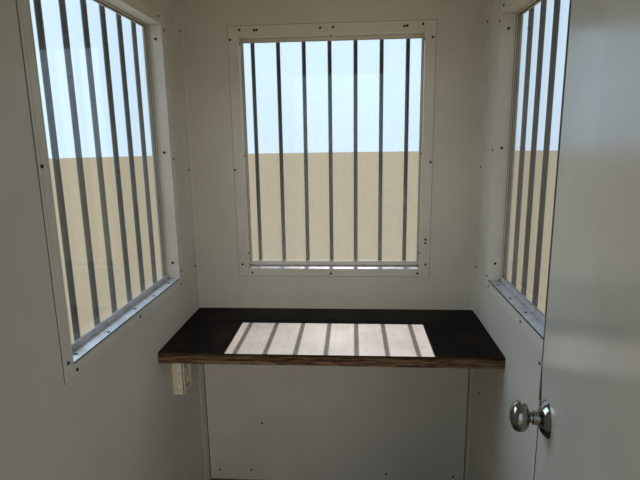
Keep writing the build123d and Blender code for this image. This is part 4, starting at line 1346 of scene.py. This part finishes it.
class CABIN_OT_set_stage(bpy.types.Operator):
    """Set the pale floor, the soft light and the camera in the doorway"""

    bl_idname = "cabin.set_stage"
    bl_label = "Set the stage"

    def execute(self, context):
        scene = context.scene
        look = scene.cabin_colours
        scene.view_settings.view_transform = "Standard"

        bm = bmesh.new()
        bmesh.ops.create_circle(bm, segments=96, radius=60, cap_ends=True)
        bmesh.ops.translate(bm, vec=(0, 0, -0.002), verts=bm.verts)
        ground = bpy.data.meshes.new("ground")
        bm.to_mesh(ground)
        bm.free()
        floor = bpy.data.objects.new("ground", ground)
        scene.collection.objects.link(floor)
        material, tree, place = new_finish("pale_ground")
        finish_output(tree, add_node(tree, "ShaderNodeBsdfDiffuse", {"Color": rgba(look.ground)}))
        ground.materials.append(material)

        world = bpy.data.worlds.new("pale_sky")
        scene.world = world
        world.use_nodes = True
        tree = world.node_tree
        tree.nodes.clear()
        camera_ray = add_node(tree, "ShaderNodeLightPath", output="Is Camera Ray")
        seen = camera_ray
        for kind in ("Is Glossy Ray", "Is Transmission Ray"):
            seen = add_node(tree, "ShaderNodeMath", {
                "Value": seen, "Value_001": camera_ray.node.outputs[kind]}, operation="MAXIMUM")
        sky = add_node(tree, "ShaderNodeBackground", {"Color": rgba(look.sky), "Strength": 1.3})
        soft = add_node(tree, "ShaderNodeBackground", {
            "Color": rgba(look.sky_light), "Strength": 0.66})
        mixed = add_node(tree, "ShaderNodeMixShader", {"Fac": seen, "Shader": soft, "Shader_001": sky})
        end = tree.nodes.new("ShaderNodeOutputWorld")
        tree.links.new(mixed, end.inputs["Surface"])

        add_lamp("sun", "SUN", 3.0, (1.0, 0.95, 0.88), SUNWARD, angle=SUN_WIDTH)
        fill = add_lamp(
            "doorway_fill", "SPOT", 15.2, (1.0, 0.84, 0.80), (-0.32, 2.2, -0.45), (-0.06, -1.25, 1.0),
            spot_size=math.radians(38), spot_blend=1.0, shadow_soft_size=0.25)
        glow = add_lamp(
            "doorway_glow", "SPOT", 20.0, (1.0, 0.90, 0.74), (0, 2.2, 0.0), (0.05, -1.25, 1.38),
            spot_size=math.radians(48), spot_blend=1.0, shadow_soft_size=0.3)
        add_lamp(
            "left_sky", "AREA", 29.0, (0.66, 0.84, 1.0), (1, -0.35, -0.35), (-1.5, 0.85, 2.15),
            shape="RECTANGLE", size=1.4, size_y=1.3)
        # both doorway lamps leave out the leaf, so that they draw no discs on it when it is closed
        leaf = [scene.objects[name] for name in ("door_leaf", "leaf_outer_angle", "leaf_inner_angle")]
        all_but_leaf = light_group("all_but_leaf", leaf, "EXCLUDE")
        for lamp in (fill, glow):
            lamp.light_linking.receiver_collection = all_but_leaf

        # two more suns only reach the desk, whose dark stain would swallow the first. The weaker
        # one stands for light that dusty panes scatter past the bars, so it passes them.
        desk_only = light_group("desk_only", [frame["nodes"]["desk_top"]], "INCLUDE")
        direct = add_lamp("desk_sun", "SUN", 41.0, LOW_SUN, SUNWARD, angle=SUN_WIDTH)
        haze = add_lamp("desk_haze", "SUN", 17.0, LOW_SUN, SUNWARD, angle=SUN_WIDTH)
        for lamp in (direct, haze):
            lamp.light_linking.receiver_collection = desk_only
        haze.light_linking.blocker_collection = light_group(
            "all_but_bars", [frame["nodes"]["front_window_bars"]], "EXCLUDE")

        lens = bpy.data.cameras.new("doorway")
        lens.lens, lens.sensor_width = CAMERA_LENS, 36.0
        lens.clip_start, lens.clip_end = 0.02, 200.0
        camera = bpy.data.objects.new("doorway", lens)
        camera.location = CAMERA_PLACE
        camera.rotation_euler = [math.radians(angle) for angle in CAMERA_TURN]
        scene.collection.objects.link(camera)
        scene.camera = camera
        return {"FINISHED"}


STEPS = (
    CABIN_OT_finish_shell, CABIN_OT_finish_windows, CABIN_OT_finish_desk, CABIN_OT_finish_socket,
    CABIN_OT_finish_door, CABIN_OT_set_stage,
)


class CABIN_PT_tools(bpy.types.Panel):
    """The cabin's steps in order, and its colours and sizes."""

    bl_idname = "CABIN_PT_tools"
    bl_label = "Cabin"
    bl_space_type = "VIEW_3D"
    bl_region_type = "UI"
    bl_category = "Cabin"

    def draw(self, context):
        for step in STEPS:
            self.layout.operator(step.bl_idname)
        for group in (context.scene.cabin_colours, context.scene.cabin_sizes):
            column = self.layout.column(align=True)
            for name in group.__annotations__:
                column.prop(group, name)


CLASSES = (CabinColours, CabinSizes, *STEPS, CABIN_PT_tools)


def register():
    for cls in CLASSES:
        bpy.utils.register_class(cls)
    bpy.types.Scene.cabin_colours = PointerProperty(type=CabinColours)
    bpy.types.Scene.cabin_sizes = PointerProperty(type=CabinSizes)


def unregister():
    del bpy.types.Scene.cabin_sizes
    del bpy.types.Scene.cabin_colours
    for cls in reversed(CLASSES):
        bpy.utils.unregister_class(cls)


def main():
    """Build the scene on the loaded frame, step by step."""
    register()
    for step in STEPS:
        group, name = step.bl_idname.split(".")
        getattr(getattr(bpy.ops, group), name)()


if __name__ == "__main__":
    main()
